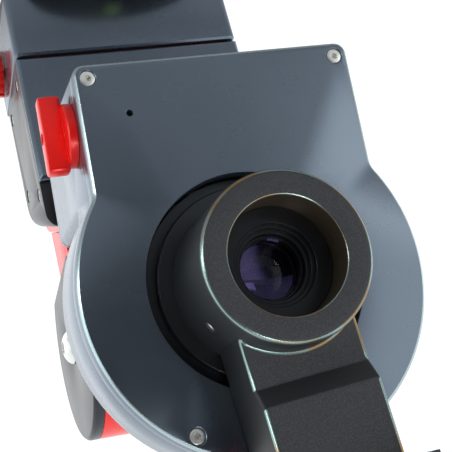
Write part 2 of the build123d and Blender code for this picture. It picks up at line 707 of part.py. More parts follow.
with BuildPart() as hub_arm:
    with BuildSketch(ARM_SECTION.offset(-ARM_HALF)):
        with BuildLine():
            Polyline(
                (0, ARM_BACK), (ARM_END, ARM_BACK), (ARM_END, ARM_HIGH), (RAMP_END, ARM_HIGH),
                (RAMP_START, ARM_LOW), (0, ARM_LOW), close=True,
            )
        make_face()
    extrude(amount=2 * ARM_HALF)
    long_edges = [e for e in hub_arm.edges() if e.length > 30 and e.center().Z > ALT_Z + 50]
    chamfer(long_edges, 0.9)
    with BuildSketch(HEAD_SECTION):
        with BuildLine():
            Polyline(
                (0, DISC_FRONT), (HUB_R, DISC_FRONT), (HUB_R, HUB_H - 1.8),
                (HUB_R - 0.6, HUB_H - 0.6), (HUB_R - 1.8, HUB_H), (0, HUB_H), close=True,
            )
        make_face()
    revolve(axis=POLAR_AXIS)
    with BuildSketch(head_at(DISC_FRONT)):
        Circle(HUB_BORE_R)
    extrude(amount=HUB_H + 10, mode=Mode.SUBTRACT)
    for angle in SET_SCREW_ANGLES:
        with BuildSketch(hub_radial(angle, HUB_BORE_R)):
            Circle(2)
        extrude(amount=12, mode=Mode.SUBTRACT)
save(hub_arm, "hub_arm")

with BuildPart() as hub_set_screws:
    for angle in SET_SCREW_ANGLES:
        with BuildSketch(hub_radial(angle, HUB_BORE_R)):
            Circle(2)
        extrude(amount=HUB_R - HUB_BORE_R - 0.7)
        with BuildSketch(hub_radial(angle, HUB_R - 0.7)):
            RegularPolygon(1.15, 6)
        extrude(amount=-1.8, mode=Mode.SUBTRACT)
save(hub_set_screws, "hub_set_screws")

CELL_TOP, CELL_BACK = 23.0, 8.0
LENS_R = 11.5
turned("objective_cell", (10, CELL_BACK), (HUB_BORE_R, CELL_BACK), (HUB_BORE_R, CELL_TOP),
       (14.2, CELL_TOP), (14.2, 21.3), (12.9, 21.3), (12.9, 19.6), (LENS_R, 19.6),
       (LENS_R, 11), (10, 11))

LENS_EDGE, LENS_TOP = 13.6, 16.0
LENS_CURVE = (10.5**2 + (LENS_TOP - LENS_EDGE) ** 2) / (2 * (LENS_TOP - LENS_EDGE))

with BuildPart() as objective_lens:
    with BuildSketch(HEAD_SECTION):
        with BuildLine():
            Polyline((0, LENS_TOP), (0, 11), (LENS_R, 11), (LENS_R, LENS_EDGE), (10.5, LENS_EDGE))
            RadiusArc((10.5, LENS_EDGE), (0, LENS_TOP), -LENS_CURVE)
        make_face()
    revolve(axis=POLAR_AXIS)
save(objective_lens, "objective_lens")

turned("lens_retainer", (10.6, LENS_EDGE), (LENS_R, LENS_EDGE), (LENS_R, 17.2), (10.6, 17.2))

TUBE_BORE_R = 12.2
TUBE_END = SHAFT_END + 0.4
turned("polar_scope_tube", (TUBE_BORE_R, TUBE_END), (SHAFT_BORE_R, TUBE_END),
       (SHAFT_BORE_R, CELL_BACK), (TUBE_BORE_R, CELL_BACK))
turned("reticle", (0, -101.5), (TUBE_BORE_R, -101.5), (TUBE_BORE_R, -100), (0, -100))

EYE_R = 15.0
EYE_FRONT = -HOUSING_END - 0.4
EYE_BACK = -PIVOT_DEPTH - 41.0
with BuildPart() as eyepiece:
    with BuildSketch(head_at(EYE_BACK)):
        Circle(EYE_R)
        with PolarLocations(EYE_R, 16):
            Circle(1.2, mode=Mode.SUBTRACT)
    extrude(amount=EYE_FRONT - EYE_BACK)
    with BuildSketch(head_at(EYE_FRONT)):
        Circle(TUBE_BORE_R - RUN)
    extrude(amount=11)
    with BuildSketch(head_at(EYE_BACK)):
        Circle(9)
    extrude(amount=60, mode=Mode.SUBTRACT)
save(eyepiece, "eyepiece")
turned("eyepiece_lens", (0, EYE_BACK + 2), (9, EYE_BACK + 2), (9, EYE_BACK + 5), (0, EYE_BACK + 5))
turned("eyecup", (10, EYE_BACK - 4), (EYE_R - 1.5, EYE_BACK - 4), (EYE_R - 0.5, EYE_BACK),
       (9.5, EYE_BACK))

# ======== dovetail saddle at the outer end of the arm ========

SADDLE_IN, SADDLE_OUT = 72.0, ARM_END
SADDLE_FLOOR = ARM_HIGH + 4.0
JAW_TOP = ARM_HIGH + 12.0
JAW_FOOT, JAW_LIP = 19.0, 17.0       # the dovetail is wider at its foot than at its lip
SCREW_Y, SCREW_Z = (SADDLE_IN + SADDLE_OUT) / 2, ARM_HIGH + 7.0
LUG_IN, LUG_OUT = 30.5, 34.5


def arm_across(x):
    """Plane across the arm's width at a distance from its middle."""
    return ARM_SECTION.offset(x)


SADDLE_END = Plane(
    origin=ARM_PLANE.from_local_coords(Vector(0, SADDLE_IN, 0)),
    x_dir=ARM_PLANE.x_dir, z_dir=-ARM_PLANE.y_dir,
)

with BuildPart() as saddle_body:
    with BuildSketch(SADDLE_END):
        with BuildLine():
            Polyline(
                (-27, ARM_HIGH), (LUG_OUT, ARM_HIGH), (LUG_OUT, JAW_TOP), (LUG_IN, JAW_TOP),
                (LUG_IN, SADDLE_FLOOR), (-JAW_FOOT, SADDLE_FLOOR), (-JAW_LIP, JAW_TOP - 2),
                (-JAW_LIP, JAW_TOP), (-27, JAW_TOP), close=True,
            )
        make_face()
    extrude(amount=-(SADDLE_OUT - SADDLE_IN))
    with BuildSketch(arm_across(LUG_IN - 1)):
        with Locations((SCREW_Y, SCREW_Z)):
            Circle(2.5 + RUN)
    extrude(amount=LUG_OUT - LUG_IN + 2, mode=Mode.SUBTRACT)
save(saddle_body, "saddle_body")

with BuildPart() as saddle_jaw:
    with BuildSketch(SADDLE_END.offset(-0.5)):
        with BuildLine():
            Polyline(
                (JAW_FOOT, SADDLE_FLOOR + RUN), (27, SADDLE_FLOOR + RUN), (27, JAW_TOP),
                (JAW_LIP, JAW_TOP), (JAW_LIP, JAW_TOP - 2), close=True,
            )
        make_face()
    extrude(amount=-(SADDLE_OUT - SADDLE_IN - 1))
    with BuildSketch(arm_across(JAW_LIP - 1)):
        with Locations((SCREW_Y, SCREW_Z)):
            Circle(2.5 + RUN)
    extrude(amount=14, mode=Mode.SUBTRACT)
save(saddle_jaw, "saddle_jaw")

with BuildPart() as saddle_knob:
    with BuildSketch(arm_across(21.5)):
        with Locations((SCREW_Y, SCREW_Z)):
            Circle(2.5)
    extrude(amount=LUG_OUT + 1 - 21.5)
    with BuildSketch(arm_across(LUG_OUT + 0.3)):
        with Locations((SCREW_Y, SCREW_Z)):
            Circle(7.6)
            with PolarLocations(7.6, 8):
                Circle(1.3, mode=Mode.SUBTRACT)
    extrude(amount=10)
save(saddle_knob, "saddle_knob")

# ======== polar drive: motor, belt and worm inside the casing ========

BRACKET_X = 20.0
BEARING_OUT_R = 7.0
with BuildPart() as worm_bracket:
    with BuildSketch(head_at(-DRUM_BACK + WALL)):
        with Locations((0, WORM_Y)):
            Rectangle(2 * BRACKET_X + 12, 20)
    extrude(amount=1.6)
    with BuildSketch(head_at(-DRUM_BACK + WALL)):
        for side in (-1, 1):
            with Locations((side * (BRACKET_X + 3), WORM_Y)):
                Rectangle(6, 18)
    extrude(amount=18)
    with BuildSketch(head_side(-BRACKET_X - 10, WORM_Y, WORM_Z)):
        Circle(BEARING_OUT_R)
    extrude(amount=2 * BRACKET_X + 20, mode=Mode.SUBTRACT)
save(worm_bracket, "worm_bracket")

with BuildPart() as worm_bearings:
    for side in (-1, 1):
        with BuildSketch(head_side(side * (BRACKET_X + 0.5), WORM_Y, WORM_Z)):
            Circle(BEARING_OUT_R)
            Circle(3 + RUN, mode=Mode.SUBTRACT)
        extrude(amount=side * 5)
save(worm_bearings, "worm_bearings")

with BuildPart() as ra_worm:
    with BuildSketch(head_side(-16, WORM_Y, WORM_Z)):
        Circle(WORM_R)
    extrude(amount=32)
    with BuildSketch(head_side(PULLEY_X - 4, WORM_Y, WORM_Z)):
        Circle(3)
    extrude(amount=BRACKET_X + 6 - PULLEY_X + 4)
save(ra_worm, "ra_worm")

with BuildPart() as worm_pulley:
    with BuildSketch(head_side(PULLEY_X - 3, WORM_Y, WORM_Z)):
        Circle(PULLEY_R)
        Circle(3, mode=Mode.SUBTRACT)
        with PolarLocations(PULLEY_R, 18):
            Circle(0.45, mode=Mode.SUBTRACT)
    extrude(amount=6)
save(worm_pulley, "worm_pulley")

MOTOR_X = PULLEY_X + 7.0
with BuildPart() as motor_pulley:
    with BuildSketch(head_side(PULLEY_X - 3, MOTOR_Y, MOTOR_Z)):
        Circle(PULLEY_R)
        with PolarLocations(PULLEY_R, 18):
            Circle(0.45, mode=Mode.SUBTRACT)
    extrude(amount=6)
    with BuildSketch(head_side(PULLEY_X - 4, MOTOR_Y, MOTOR_Z)):
        Circle(2.5)
    extrude(amount=MOTOR_X + 7.5 - PULLEY_X + 4)
save(motor_pulley, "motor_pulley")

MOTOR_SIDE, MOTOR_LEN = 28.0, 34.0
with BuildPart() as ra_motor:
    with BuildSketch(head_side(MOTOR_X, MOTOR_Y, MOTOR_Z)):
        RectangleRounded(MOTOR_SIDE, MOTOR_SIDE, 3)
    extrude(amount=MOTOR_LEN)
    with BuildSketch(head_side(MOTOR_X, MOTOR_Y, MOTOR_Z)):
        Circle(2.5 + RUN)
    extrude(amount=8, mode=Mode.SUBTRACT)
save(ra_motor, "ra_motor")

BELT_GAP = 0.15
BELT_T = 1.2


def belt_outline(spread):
    """Loop round both pulleys, a distance outside their rims."""
    run_y, run_z = MOTOR_Y - WORM_Y, MOTOR_Z - WORM_Z
    with BuildSketch(mode=Mode.PRIVATE) as loop:
        Circle(PULLEY_R + spread)
        with Locations((run_y, run_z)):
            Circle(PULLEY_R + spread)
        with Locations(Location((run_y / 2, run_z / 2), degrees(atan2(run_z, run_y)))):
            Rectangle(sqrt(run_y**2 + run_z**2), 2 * (PULLEY_R + spread))
    return loop.sketch


with BuildPart() as drive_belt:
    with BuildSketch(head_side(PULLEY_X - 2.5, WORM_Y, WORM_Z)):
        add(belt_outline(BELT_GAP + BELT_T))
        add(belt_outline(BELT_GAP), mode=Mode.SUBTRACT)
    extrude(amount=5)
save(drive_belt, "drive_belt")

BOARD_Z = -75.0
with BuildPart() as control_board:
    with BuildSketch(head_at(BOARD_Z)):
        with Locations((0, -61.5)):
            Rectangle(80, 34)
    extrude(amount=1.6)
    with BuildSketch(head_at(BOARD_Z + 1.6)):
        with Locations((24, -58), (-2, -68)):
            Rectangle(10, 10)
        with Locations((8, -52)):
            Rectangle(14, 6)
    extrude(amount=2.5)
    with BuildSketch(head_at(-HOUSING_BACK)):
        with Locations((-34, -61.5), (34, -61.5)):
            Circle(2.5)
    extrude(amount=BOARD_Z + HOUSING_BACK)
save(control_board, "control_board")

with BuildPart() as guide_port:
    with BuildSketch(head_side(-HALF_W + 0.5, PORT_Y, BUTTON_Z)):
        Rectangle(11, 7)
    extrude(amount=8)
    with BuildSketch(head_side(-HALF_W + 0.5, PORT_Y, BUTTON_Z)):
        Rectangle(8.5, 3)
    extrude(amount=6, mode=Mode.SUBTRACT)
save(guide_port, "guide_port")

with BuildPart() as power_button:
    with BuildSketch(head_side(-HALF_W - 1.2, BUTTON_Y, BUTTON_Z)):
        Circle(4)
    extrude(amount=WALL + 0.7)
    fillet(power_button.edges().group_by(Axis.X)[0], 0.8)
save(power_button, "power_button")

# ======== clutch: a wing knob on the side of the head frees the worm ========

KNOB_BOSS_R = 11.7
KNOB_BAR_LEN, KNOB_BAR_W = 29.0, 7.0
BAR_IN, BAR_OUT = 55.0, 62.5
BAR_SHIFT = -0.6          # the bar reaches a little further toward the foot
with BuildPart() as clutch_knob:
    with BuildSketch(head_side(HALF_W + 0.1, KNOB_Y, KNOB_Z)):
        Circle(KNOB_BOSS_R)
    extrude(amount=BAR_IN - HALF_W - 0.1)
    with BuildSketch(head_side(BAR_IN, KNOB_Y + BAR_SHIFT, KNOB_Z)):
        Rectangle(KNOB_BAR_LEN, KNOB_BAR_W)
    extrude(amount=BAR_OUT - BAR_IN)
    bar_edges = [e for e in clutch_knob.edges() if e.center().X > BAR_IN + 0.5]
    fillet(bar_edges, 1.0)
    with BuildSketch(head_side(BAR_OUT, KNOB_Y, KNOB_Z)):
        Circle(2.75)
    extrude(amount=-3, mode=Mode.SUBTRACT)
save(clutch_knob, "clutch_knob")

with BuildPart() as clutch_stud:
    with BuildSketch(head_side(HALF_W + 0.1, KNOB_Y, KNOB_Z)):
        Circle(4)
    extrude(amount=-12)
    with BuildSketch(head_side(HALF_W - 11.9, KNOB_Y, KNOB_Z)):
        with Locations((2, 0)):
            Circle(4)
    extrude(amount=-4)
save(clutch_stud, "clutch_stud")
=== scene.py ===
import json
import math

import bmesh
import bpy
from mathutils import Matrix, Vector


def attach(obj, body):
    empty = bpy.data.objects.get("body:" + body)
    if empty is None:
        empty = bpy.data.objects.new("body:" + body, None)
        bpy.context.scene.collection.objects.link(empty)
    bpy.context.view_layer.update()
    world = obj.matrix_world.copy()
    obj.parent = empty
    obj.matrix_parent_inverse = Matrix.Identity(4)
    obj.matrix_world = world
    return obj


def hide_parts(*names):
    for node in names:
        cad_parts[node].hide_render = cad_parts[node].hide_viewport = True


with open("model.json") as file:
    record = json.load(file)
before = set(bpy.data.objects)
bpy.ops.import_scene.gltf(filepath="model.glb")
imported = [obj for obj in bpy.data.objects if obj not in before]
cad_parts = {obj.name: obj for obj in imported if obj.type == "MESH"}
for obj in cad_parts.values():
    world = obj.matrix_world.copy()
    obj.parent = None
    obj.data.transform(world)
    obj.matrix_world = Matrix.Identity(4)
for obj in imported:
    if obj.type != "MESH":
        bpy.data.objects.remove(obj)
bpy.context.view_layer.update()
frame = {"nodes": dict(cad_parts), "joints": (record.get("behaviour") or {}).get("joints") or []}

# ---- Base foot and base housing ----
# The foot is a turned aluminium disc, anodised black, that stands on the tripod. The housing is
# milled from block, anodised slate, and bolted down on it from below with steel cap screws.
SHARP_CORNER = 0.6
SMOOTH_UNDER = 32.0


def add_node(tree, kind, inputs=None, **settings):
    """Adds a shader node with its settings and the values of its inputs."""
    made = tree.nodes.new(kind)
    for setting, value in settings.items():
        setattr(made, setting, value)
    for socket, value in (inputs or {}).items():
        made.inputs[socket].default_value = value
    return made


def set_stops(ramp_node, stops):
    """Gives a colour ramp its (position, colour) stops."""
    elements = ramp_node.color_ramp.elements
    for stop, (position, colour) in enumerate(stops):
        if stop > 1:
            elements.new(position)
        elements[stop].position = position
        elements[stop].color = (*colour, 1)


def new_material(name):
    """A material with its node tree and its shader."""
    material = bpy.data.materials.new(name)
    material.use_nodes = True
    return material, material.node_tree, material.node_tree.nodes["Principled BSDF"]


def metal_skin(name, colour, roughness, metallic, grain_mm, grain_depth_mm, cloud, edge_mm=0.25,
               speckle=0.35):
    """Anodised or machined metal: clouded colour, uneven gloss, fine grain and eased edges."""
    material, tree, shader = new_material(name)
    link = tree.links.new
    shader.inputs["Metallic"].default_value = metallic
    where = add_node(tree, "ShaderNodeTexCoord")
    clouds = add_node(tree, "ShaderNodeTexNoise", {"Scale": 38.0, "Detail": 4.0})
    link(where.outputs["Object"], clouds.inputs["Vector"])
    tint = add_node(tree, "ShaderNodeValToRGB")
    set_stops(tint, [(0.1, [c * (1 - cloud) for c in colour]),
                     (0.9, [min(c * (1 + cloud), 1) for c in colour])])
    link(clouds.outputs["Fac"], tint.inputs["Fac"])
    grain = add_node(tree, "ShaderNodeTexNoise", {"Scale": 1000.0 / grain_mm, "Detail": 2.0})
    link(where.outputs["Object"], grain.inputs["Vector"])
    mottle = add_node(tree, "ShaderNodeMix", {"Factor": speckle}, data_type="RGBA",
                      blend_type="OVERLAY")
    link(tint.outputs["Color"], mottle.inputs["A"])
    link(grain.outputs["Fac"], mottle.inputs["B"])
    link(mottle.outputs["Result"], shader.inputs["Base Color"])
    gloss = add_node(tree, "ShaderNodeMapRange",
                     {"To Min": roughness - 0.05, "To Max": roughness + 0.06})
    link(clouds.outputs["Fac"], gloss.inputs["Value"])
    link(gloss.outputs["Result"], shader.inputs["Roughness"])
    eased_edge = add_node(tree, "ShaderNodeBevel", {"Radius": edge_mm / 1000}, samples=4)
    relief = add_node(tree, "ShaderNodeBump",
                      {"Strength": 1.0, "Distance": grain_depth_mm / 1000})
    link(grain.outputs["Fac"], relief.inputs["Height"])
    link(eased_edge.outputs["Normal"], relief.inputs["Normal"])
    link(relief.outputs["Normal"], shader.inputs["Normal"])
    return material


def mesh_data(name, mesh):
    """Turns a finished bmesh into mesh data."""
    data = bpy.data.meshes.new(name)
    mesh.to_mesh(data)
    mesh.free()
    return data


def set_out(name, data):
    """Puts mesh, lamp or camera data into the scene."""
    made = bpy.data.objects.new(name, data)
    bpy.context.scene.collection.objects.link(made)
    return made


def shade_and_ride(name, data, body, materials, stands_for=()):
    """Smooths a finished mesh up to its corners, paints it and hands it to the frame."""
    for polygon in data.polygons:
        polygon.use_smooth = True
    data.set_sharp_from_angle(angle=math.radians(SMOOTH_UNDER))
    for material in materials:
        data.materials.append(material)
    made = set_out(name, data)
    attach(made, body)
    if stands_for:
        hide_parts(*stands_for)
    return made


def eased_copy(name, node, body, material, round_mm=0.25):
    """A merged copy of a machined piece with its corners broken by a small round."""
    mesh = bmesh.new()
    mesh.from_mesh(frame["nodes"][node].data)
    bmesh.ops.remove_doubles(mesh, verts=mesh.verts, dist=0.000002)
    bmesh.ops.dissolve_limit(mesh, angle_limit=math.radians(0.5), use_dissolve_boundaries=False,
                             verts=mesh.verts, edges=mesh.edges, delimit=set())
    corners = [e for e in mesh.edges
               if len(e.link_faces) == 2 and e.calc_face_angle(0) > SHARP_CORNER]
    bmesh.ops.bevel(mesh, geom=corners, offset=round_mm / 1000, segments=2, profile=0.5,
                    affect="EDGES", clamp_overlap=True, material=-1)
    bmesh.ops.triangulate(mesh, faces=[f for f in mesh.faces if len(f.verts) > 4])
    data = mesh_data(name, mesh)
    data.materials.clear()
    return shade_and_ride(name, data, body, [material], [node])


def machined(material, *names):
    """Inner pieces keep their machined shape and get only their finish."""
    for name in names:
        shown = frame["nodes"][name]
        shown.data.materials.clear()
        shown.data.materials.append(material)


slate = metal_skin("slate_anodised", (0.19, 0.232, 0.285), roughness=0.27, metallic=0.90,
                   grain_mm=0.22, grain_depth_mm=0.002, cloud=0.05, edge_mm=0.25, speckle=0.12)
black = metal_skin("black_anodised", (0.030, 0.034, 0.040), roughness=0.34, metallic=0.5,
                   grain_mm=0.25, grain_depth_mm=0.003, cloud=0.12)
bright_steel = metal_skin("bright_screws", (0.92, 0.92, 0.88), roughness=0.32, metallic=0.7,
                          grain_mm=0.3, grain_depth_mm=0.002, cloud=0.06, edge_mm=0.08)
steel = metal_skin("turned_steel", (0.55, 0.56, 0.57), roughness=0.28, metallic=1.0,
                   grain_mm=0.3, grain_depth_mm=0.002, cloud=0.08)
bronze = metal_skin("bearing_bronze", (0.52, 0.33, 0.13), roughness=0.33, metallic=1.0,
                    grain_mm=0.3, grain_depth_mm=0.003, cloud=0.12)
eased_copy("foot", "base_foot", "base", black, 0.3)
eased_copy("base_casing", "base_housing", "base", slate, 0.3)
machined(bright_steel, "base_screws")
machined(bronze, "tripod_bush")
machined(steel, "azimuth_spindle", "azimuth_nut")
machined(black, "azimuth_plate")

# ---- Bubble level ----
# A small round spirit level pressed into the foot: a black anodised cup, a yellow-green fluid
# under a domed acrylic window, and the bubble.
LEVEL_Y = -39.0
WINDOW_R, WINDOW_LOW = 5.4, 11.2
WINDOW_DOME = [(5.4, 11.9), (4.6, 12.3), (3.2, 12.55), (1.6, 12.66), (0, 12.7)]
BUBBLE = [(0, 12.5), (1.9, 12.5), (1.9, 12.68), (1.6, 12.82), (0, 12.88)]
ON_FOOT = Matrix.Translation((0, LEVEL_Y / 1000, 0)) @ Matrix.Scale(0.001, 4)
level_cup = metal_skin("level_cup", (0.02, 0.022, 0.024), roughness=0.4, metallic=0.4,
                       grain_mm=0.3, grain_depth_mm=0.003, cloud=0.1)
level_fluid = metal_skin("level_fluid", (0.42, 0.62, 0.05), roughness=0.12, metallic=0.0,
                         grain_mm=2.0, grain_depth_mm=0.001, cloud=0.05, edge_mm=0.05, speckle=0.1)
level_bubble = metal_skin("level_bubble", (0.80, 0.92, 0.45), roughness=0.08, metallic=0.0,
                          grain_mm=2.0, grain_depth_mm=0.001, cloud=0.03, edge_mm=0.05,
                          speckle=0.1)


def turned(mesh, profile, steps=128):
    """Spins a half profile of (radius, height) points about the Z axis."""
    points = [mesh.verts.new((radius, 0, z)) for radius, z in profile]
    edges = [mesh.edges.new(pair) for pair in zip(points, points[1:])]
    if profile[0][0] > 0:
        edges.append(mesh.edges.new((points[-1], points[0])))
    bmesh.ops.spin(mesh, geom=edges + points, cent=(0, 0, 0), axis=(0, 0, 1),
                   angle=2 * math.pi, steps=steps, use_merge=True)


def piece(name, mesh, place, body, materials, stands_for=()):
    """Places a mesh drawn in millimetres, then finishes it like every other piece."""
    bmesh.ops.remove_doubles(mesh, verts=mesh.verts, dist=0.002)
    bmesh.ops.recalc_face_normals(mesh, faces=mesh.faces)
    data = mesh_data(name, mesh)
    data.transform(place)
    return shade_and_ride(name, data, body, materials, stands_for)


machined(level_cup, "bubble_level")
window = bmesh.new()
turned(window, [(0, WINDOW_LOW), (WINDOW_R, WINDOW_LOW)] + WINDOW_DOME, 64)
piece("level_window", window, ON_FOOT, "base", [level_fluid])
spot = bmesh.new()
turned(spot, BUBBLE, 48)
piece("level_bubble", spot, ON_FOOT, "base", [level_bubble])

# ---- Rear box, power socket, guide port and button ----
# A small milled box on the back of the tower carries the moulded power socket, and the head has
# a guide port and a push button. A loose lead plugs into the socket, and isn't part of the mount.
plastic = metal_skin("black_plastic", (0.02, 0.02, 0.022), roughness=0.48, metallic=0.0,
                     grain_mm=0.35, grain_depth_mm=0.012, cloud=0.10)
eased_copy("socket_box", "rear_box", "tower", black, 0.25)
eased_copy("power_inlet", "power_socket", "tower", plastic, 0.15)
eased_copy("guide_inlet", "guide_port", "head", plastic, 0.15)
eased_copy("push_button", "power_button", "power_button", plastic, 0.15)

# ---- Azimuth knobs and screw ----
# Two fluted knobs, turned from bar and anodised red, push the tower round on its base through a
# steel screw that runs across the base housing.
red = metal_skin("red_anodised", (1.0, 0.014, 0.010), roughness=0.27, metallic=0.10,
                 grain_mm=0.25, grain_depth_mm=0.0025, cloud=0.08, edge_mm=0.3, speckle=0.12)
eased_copy("azimuth_grips", "azimuth_knobs", "azimuth_drive", red, 0.3)
machined(steel, "azimuth_screw")

# ---- Tower: yoke, front panel and side covers ----
# The yoke is milled from one block and anodised red. Its front is closed by a slate panel, and
# its arms by thin black covers and round caps, so red shows only along the seams and behind.
eased_copy("red_yoke", "yoke", "tower", red, 0.3)
eased_copy("tower_front", "front_panel", "tower", slate, 0.4)
eased_copy("yoke_covers", "side_covers", "tower", black, 0.3)
eased_copy("back_cover", "rear_cover", "tower", red, 0.4)
eased_copy("side_caps", "pivot_caps", "tower", black, 0.4)
eased_copy("cover_screws", "side_cover_screws", "tower", bright_steel, 0.1)
eased_copy("altitude_grip", "altitude_knob", "altitude_drive", red, 0.3)
machined(steel, "altitude_worm", "pivot_trunnions")
machined(bronze, "altitude_wheel", "pivot_bushes")

# ---- Head casing ----
# The drum and the drive box behind the front cover are one milled casing, anodised slate. The
# lid and the polar tube are bolted to it.
eased_copy("head_casing", "head_housing", "head", slate, 0.3)
eased_copy("drive_lid", "box_lid", "head", slate, 0.3)
eased_copy("polar_tube", "bearing_housing", "head", black, 0.4)

# ---- Front cover ----
# The keyhole-shaped plate milled from sheet, with a bright cut chamfer round its edge, a large
# bore for the output disc, four counterbored screw holes and one small hole for the power lamp.
FACE_R, HALF_W, FOOT_Y = 62.8, 51.5, -84.2
CORNER_R, NECK_R = 4.0, 7.0
NECK_X = HALF_W + NECK_R
NECK_Y = -math.sqrt((FACE_R + NECK_R) ** 2 - NECK_X**2)
NECK_TURN = math.degrees(math.atan2(-NECK_Y, NECK_X))
COVER_T, COVER_BORE, BORE_BREAK = 8.0, 38.8, 0.3
CHAMFER = [(0, -1.05), (0.08, -0.92), (0.92, -0.08), (1.05, 0)]
FOOT_SCREW_X, FOOT_SCREW_Y = 46.5, -79.05
ARCH_SCREW_R, ARCH_SCREW_TURNS = 58.3, (58, 122)
SINK_R, SINK_DEPTH, SINK_BREAK = 2.95, 3.2, 0.25
LAMP_SPOT = (33.8, -64.9)
LAMP_R, LAMP_DEPTH, LAMP_BREAK = 1.2, 6.5, 0.12
cut_edge = metal_skin("cut_edge", (0.46, 0.56, 0.58), roughness=0.24, metallic=0.95,
                      grain_mm=0.3, grain_depth_mm=0.002, cloud=0.12, edge_mm=0.1, speckle=0.15)

joints = {joint["name"]: joint for joint in frame["joints"]}
sky_axis = Vector(joints["polar_turn"]["axis"]).normalized()
face_centre = Vector(joints["polar_turn"]["pos_m"])
across = Vector((1, 0, 0))
up_face = sky_axis.cross(across)


def axes_matrix(origin, x_axis, y_axis, z_axis):
    """Place for a piece drawn in millimetres along three given axes."""
    turn = Matrix((x_axis, y_axis, z_axis)).transposed().to_4x4()
    return Matrix.Translation(origin) @ turn @ Matrix.Scale(0.001, 4)


HEAD = axes_matrix(face_centre, across, up_face, sky_axis)


def arc(x, y, radius, start, end, steps):
    """Points on an arc, angles in degrees."""
    spread = [math.radians(start + (end - start) * i / steps) for i in range(steps + 1)]
    return [(x + radius * math.cos(a), y + radius * math.sin(a)) for a in spread]


def round_hole(x, y, steps=32):
    """Outline maker for a hole or pin of a given radius."""
    return lambda radius: arc(x, y, radius, 0, 360, steps)[:-1]


def ring(mesh, points, z):
    """One closed loop of edges at a height."""
    corners = [mesh.verts.new((x, y, z)) for x, y in points]
    return [mesh.edges.new((corners[i - 1], corners[i])) for i in range(len(corners))]


def skin(mesh, outline, profile, bright=()):
    """Walls through a list of (size, height) outlines. Returns the first and the last ring."""
    rings = [ring(mesh, outline(size), z) for size, z in profile]
    for step, (low, high) in enumerate(zip(rings, rings[1:])):
        for face in bmesh.ops.bridge_loops(mesh, edges=low + high)["faces"]:
            face.material_index = 1 if step in bright else 0
    return rings[0], rings[-1]


def close(mesh, *rings):
    """Fills between the rings, leaving inner rings open as holes."""
    edges = [edge for one in rings for edge in one]
    bmesh.ops.triangle_fill(mesh, edges=edges, use_beauty=True, use_dissolve=False)


def keyhole(inset):
    """Outline of the head, set in from its true edge."""
    radius, corner, neck = FACE_R - inset, CORNER_R - inset, NECK_R + inset
    corner_x, corner_y = HALF_W - CORNER_R, FOOT_Y + CORNER_R
    top = arc(0, 0, radius, -NECK_TURN, 180 + NECK_TURN, 120)
    left_neck = arc(-NECK_X, NECK_Y, neck, NECK_TURN, 0, 10)[1:]
    left_foot = arc(-corner_x, corner_y, corner, 180, 270, 8)
    right_foot = arc(corner_x, corner_y, corner, 270, 360, 8)
    right_neck = arc(NECK_X, NECK_Y, neck, 180, 180 - NECK_TURN, 10)[:-1]
    return top + left_neck + left_foot + right_foot + right_neck


front_screws = [(-FOOT_SCREW_X, FOOT_SCREW_Y), (FOOT_SCREW_X, FOOT_SCREW_Y)]
front_screws += [arc(0, 0, ARCH_SCREW_R, turn, turn, 1)[0] for turn in ARCH_SCREW_TURNS]
plate = bmesh.new()
back, front = skin(plate, keyhole, [(0, -COVER_T)] + CHAMFER, bright=(1, 2, 3))
bore_back, bore_front = skin(
    plate, round_hole(0, 0, 128),
    [(COVER_BORE, -COVER_T), (COVER_BORE, -BORE_BREAK), (COVER_BORE + BORE_BREAK, 0)])
rims = []
sinks = [(place, SINK_R, SINK_DEPTH, SINK_BREAK) for place in front_screws]
for place, radius, depth, edge_break in sinks + [(LAMP_SPOT, LAMP_R, LAMP_DEPTH, LAMP_BREAK)]:
    floor_rim, rim = skin(plate, round_hole(*place),
                          [(radius, -depth), (radius, -edge_break), (radius + edge_break, 0)])
    close(plate, floor_rim)
    rims.append(rim)
close(plate, front, bore_front, *rims)
close(plate, back, bore_back)
piece("front_plate", plate, HEAD, "head", [slate, cut_edge], ["front_cover"])

# ---- Casing screws ----
# Stainless socket screws with a hexagon recess hold the front cover and the lid. Those of the
# cover stand in counterbores, just below its face.
SCREW_R, HEX_TURN = 2.75, 12
COVER_HEX, COVER_HEX_DEPTH, COVER_SCREW_LOW, COVER_SCREW_TOP = 1.35, 1.8, -3.1, -0.2
LID_HEX, LID_HEX_DEPTH, LID_SCREW_LOW, LID_SCREW_TOP = 1.5, 1.6, 0.02, 2.9
LID_FACE = 80.6
LID_SCREWS = [(x, y) for x in (-47.0, 47.0) for y in (-79.7, -42.0)]
BACKWARD = HEAD @ Matrix.Rotation(math.pi, 4, "Y")


def hexagon(size):
    """Corners of a hexagon recess."""
    return arc(0, 0, size, HEX_TURN, HEX_TURN + 360, 6)[:-1]


def socket_head(mesh, x, y, base, top, socket, depth, crown=0.35):
    """One screw head with rounded rim and a six-sided recess."""
    low, rim = skin(mesh, round_hole(x, y, 48),
                    [(SCREW_R, base), (SCREW_R, top - crown),
                     (SCREW_R - crown * 0.3, top - crown * 0.3), (SCREW_R - crown, top)])
    six = [(x + dx, y + dy) for dx, dy in hexagon(socket)]
    floor_six, top_six = ring(mesh, six, top - depth), ring(mesh, six, top)
    bmesh.ops.bridge_loops(mesh, edges=floor_six + top_six)
    close(mesh, floor_six)
    close(mesh, rim, top_six)
    close(mesh, low)


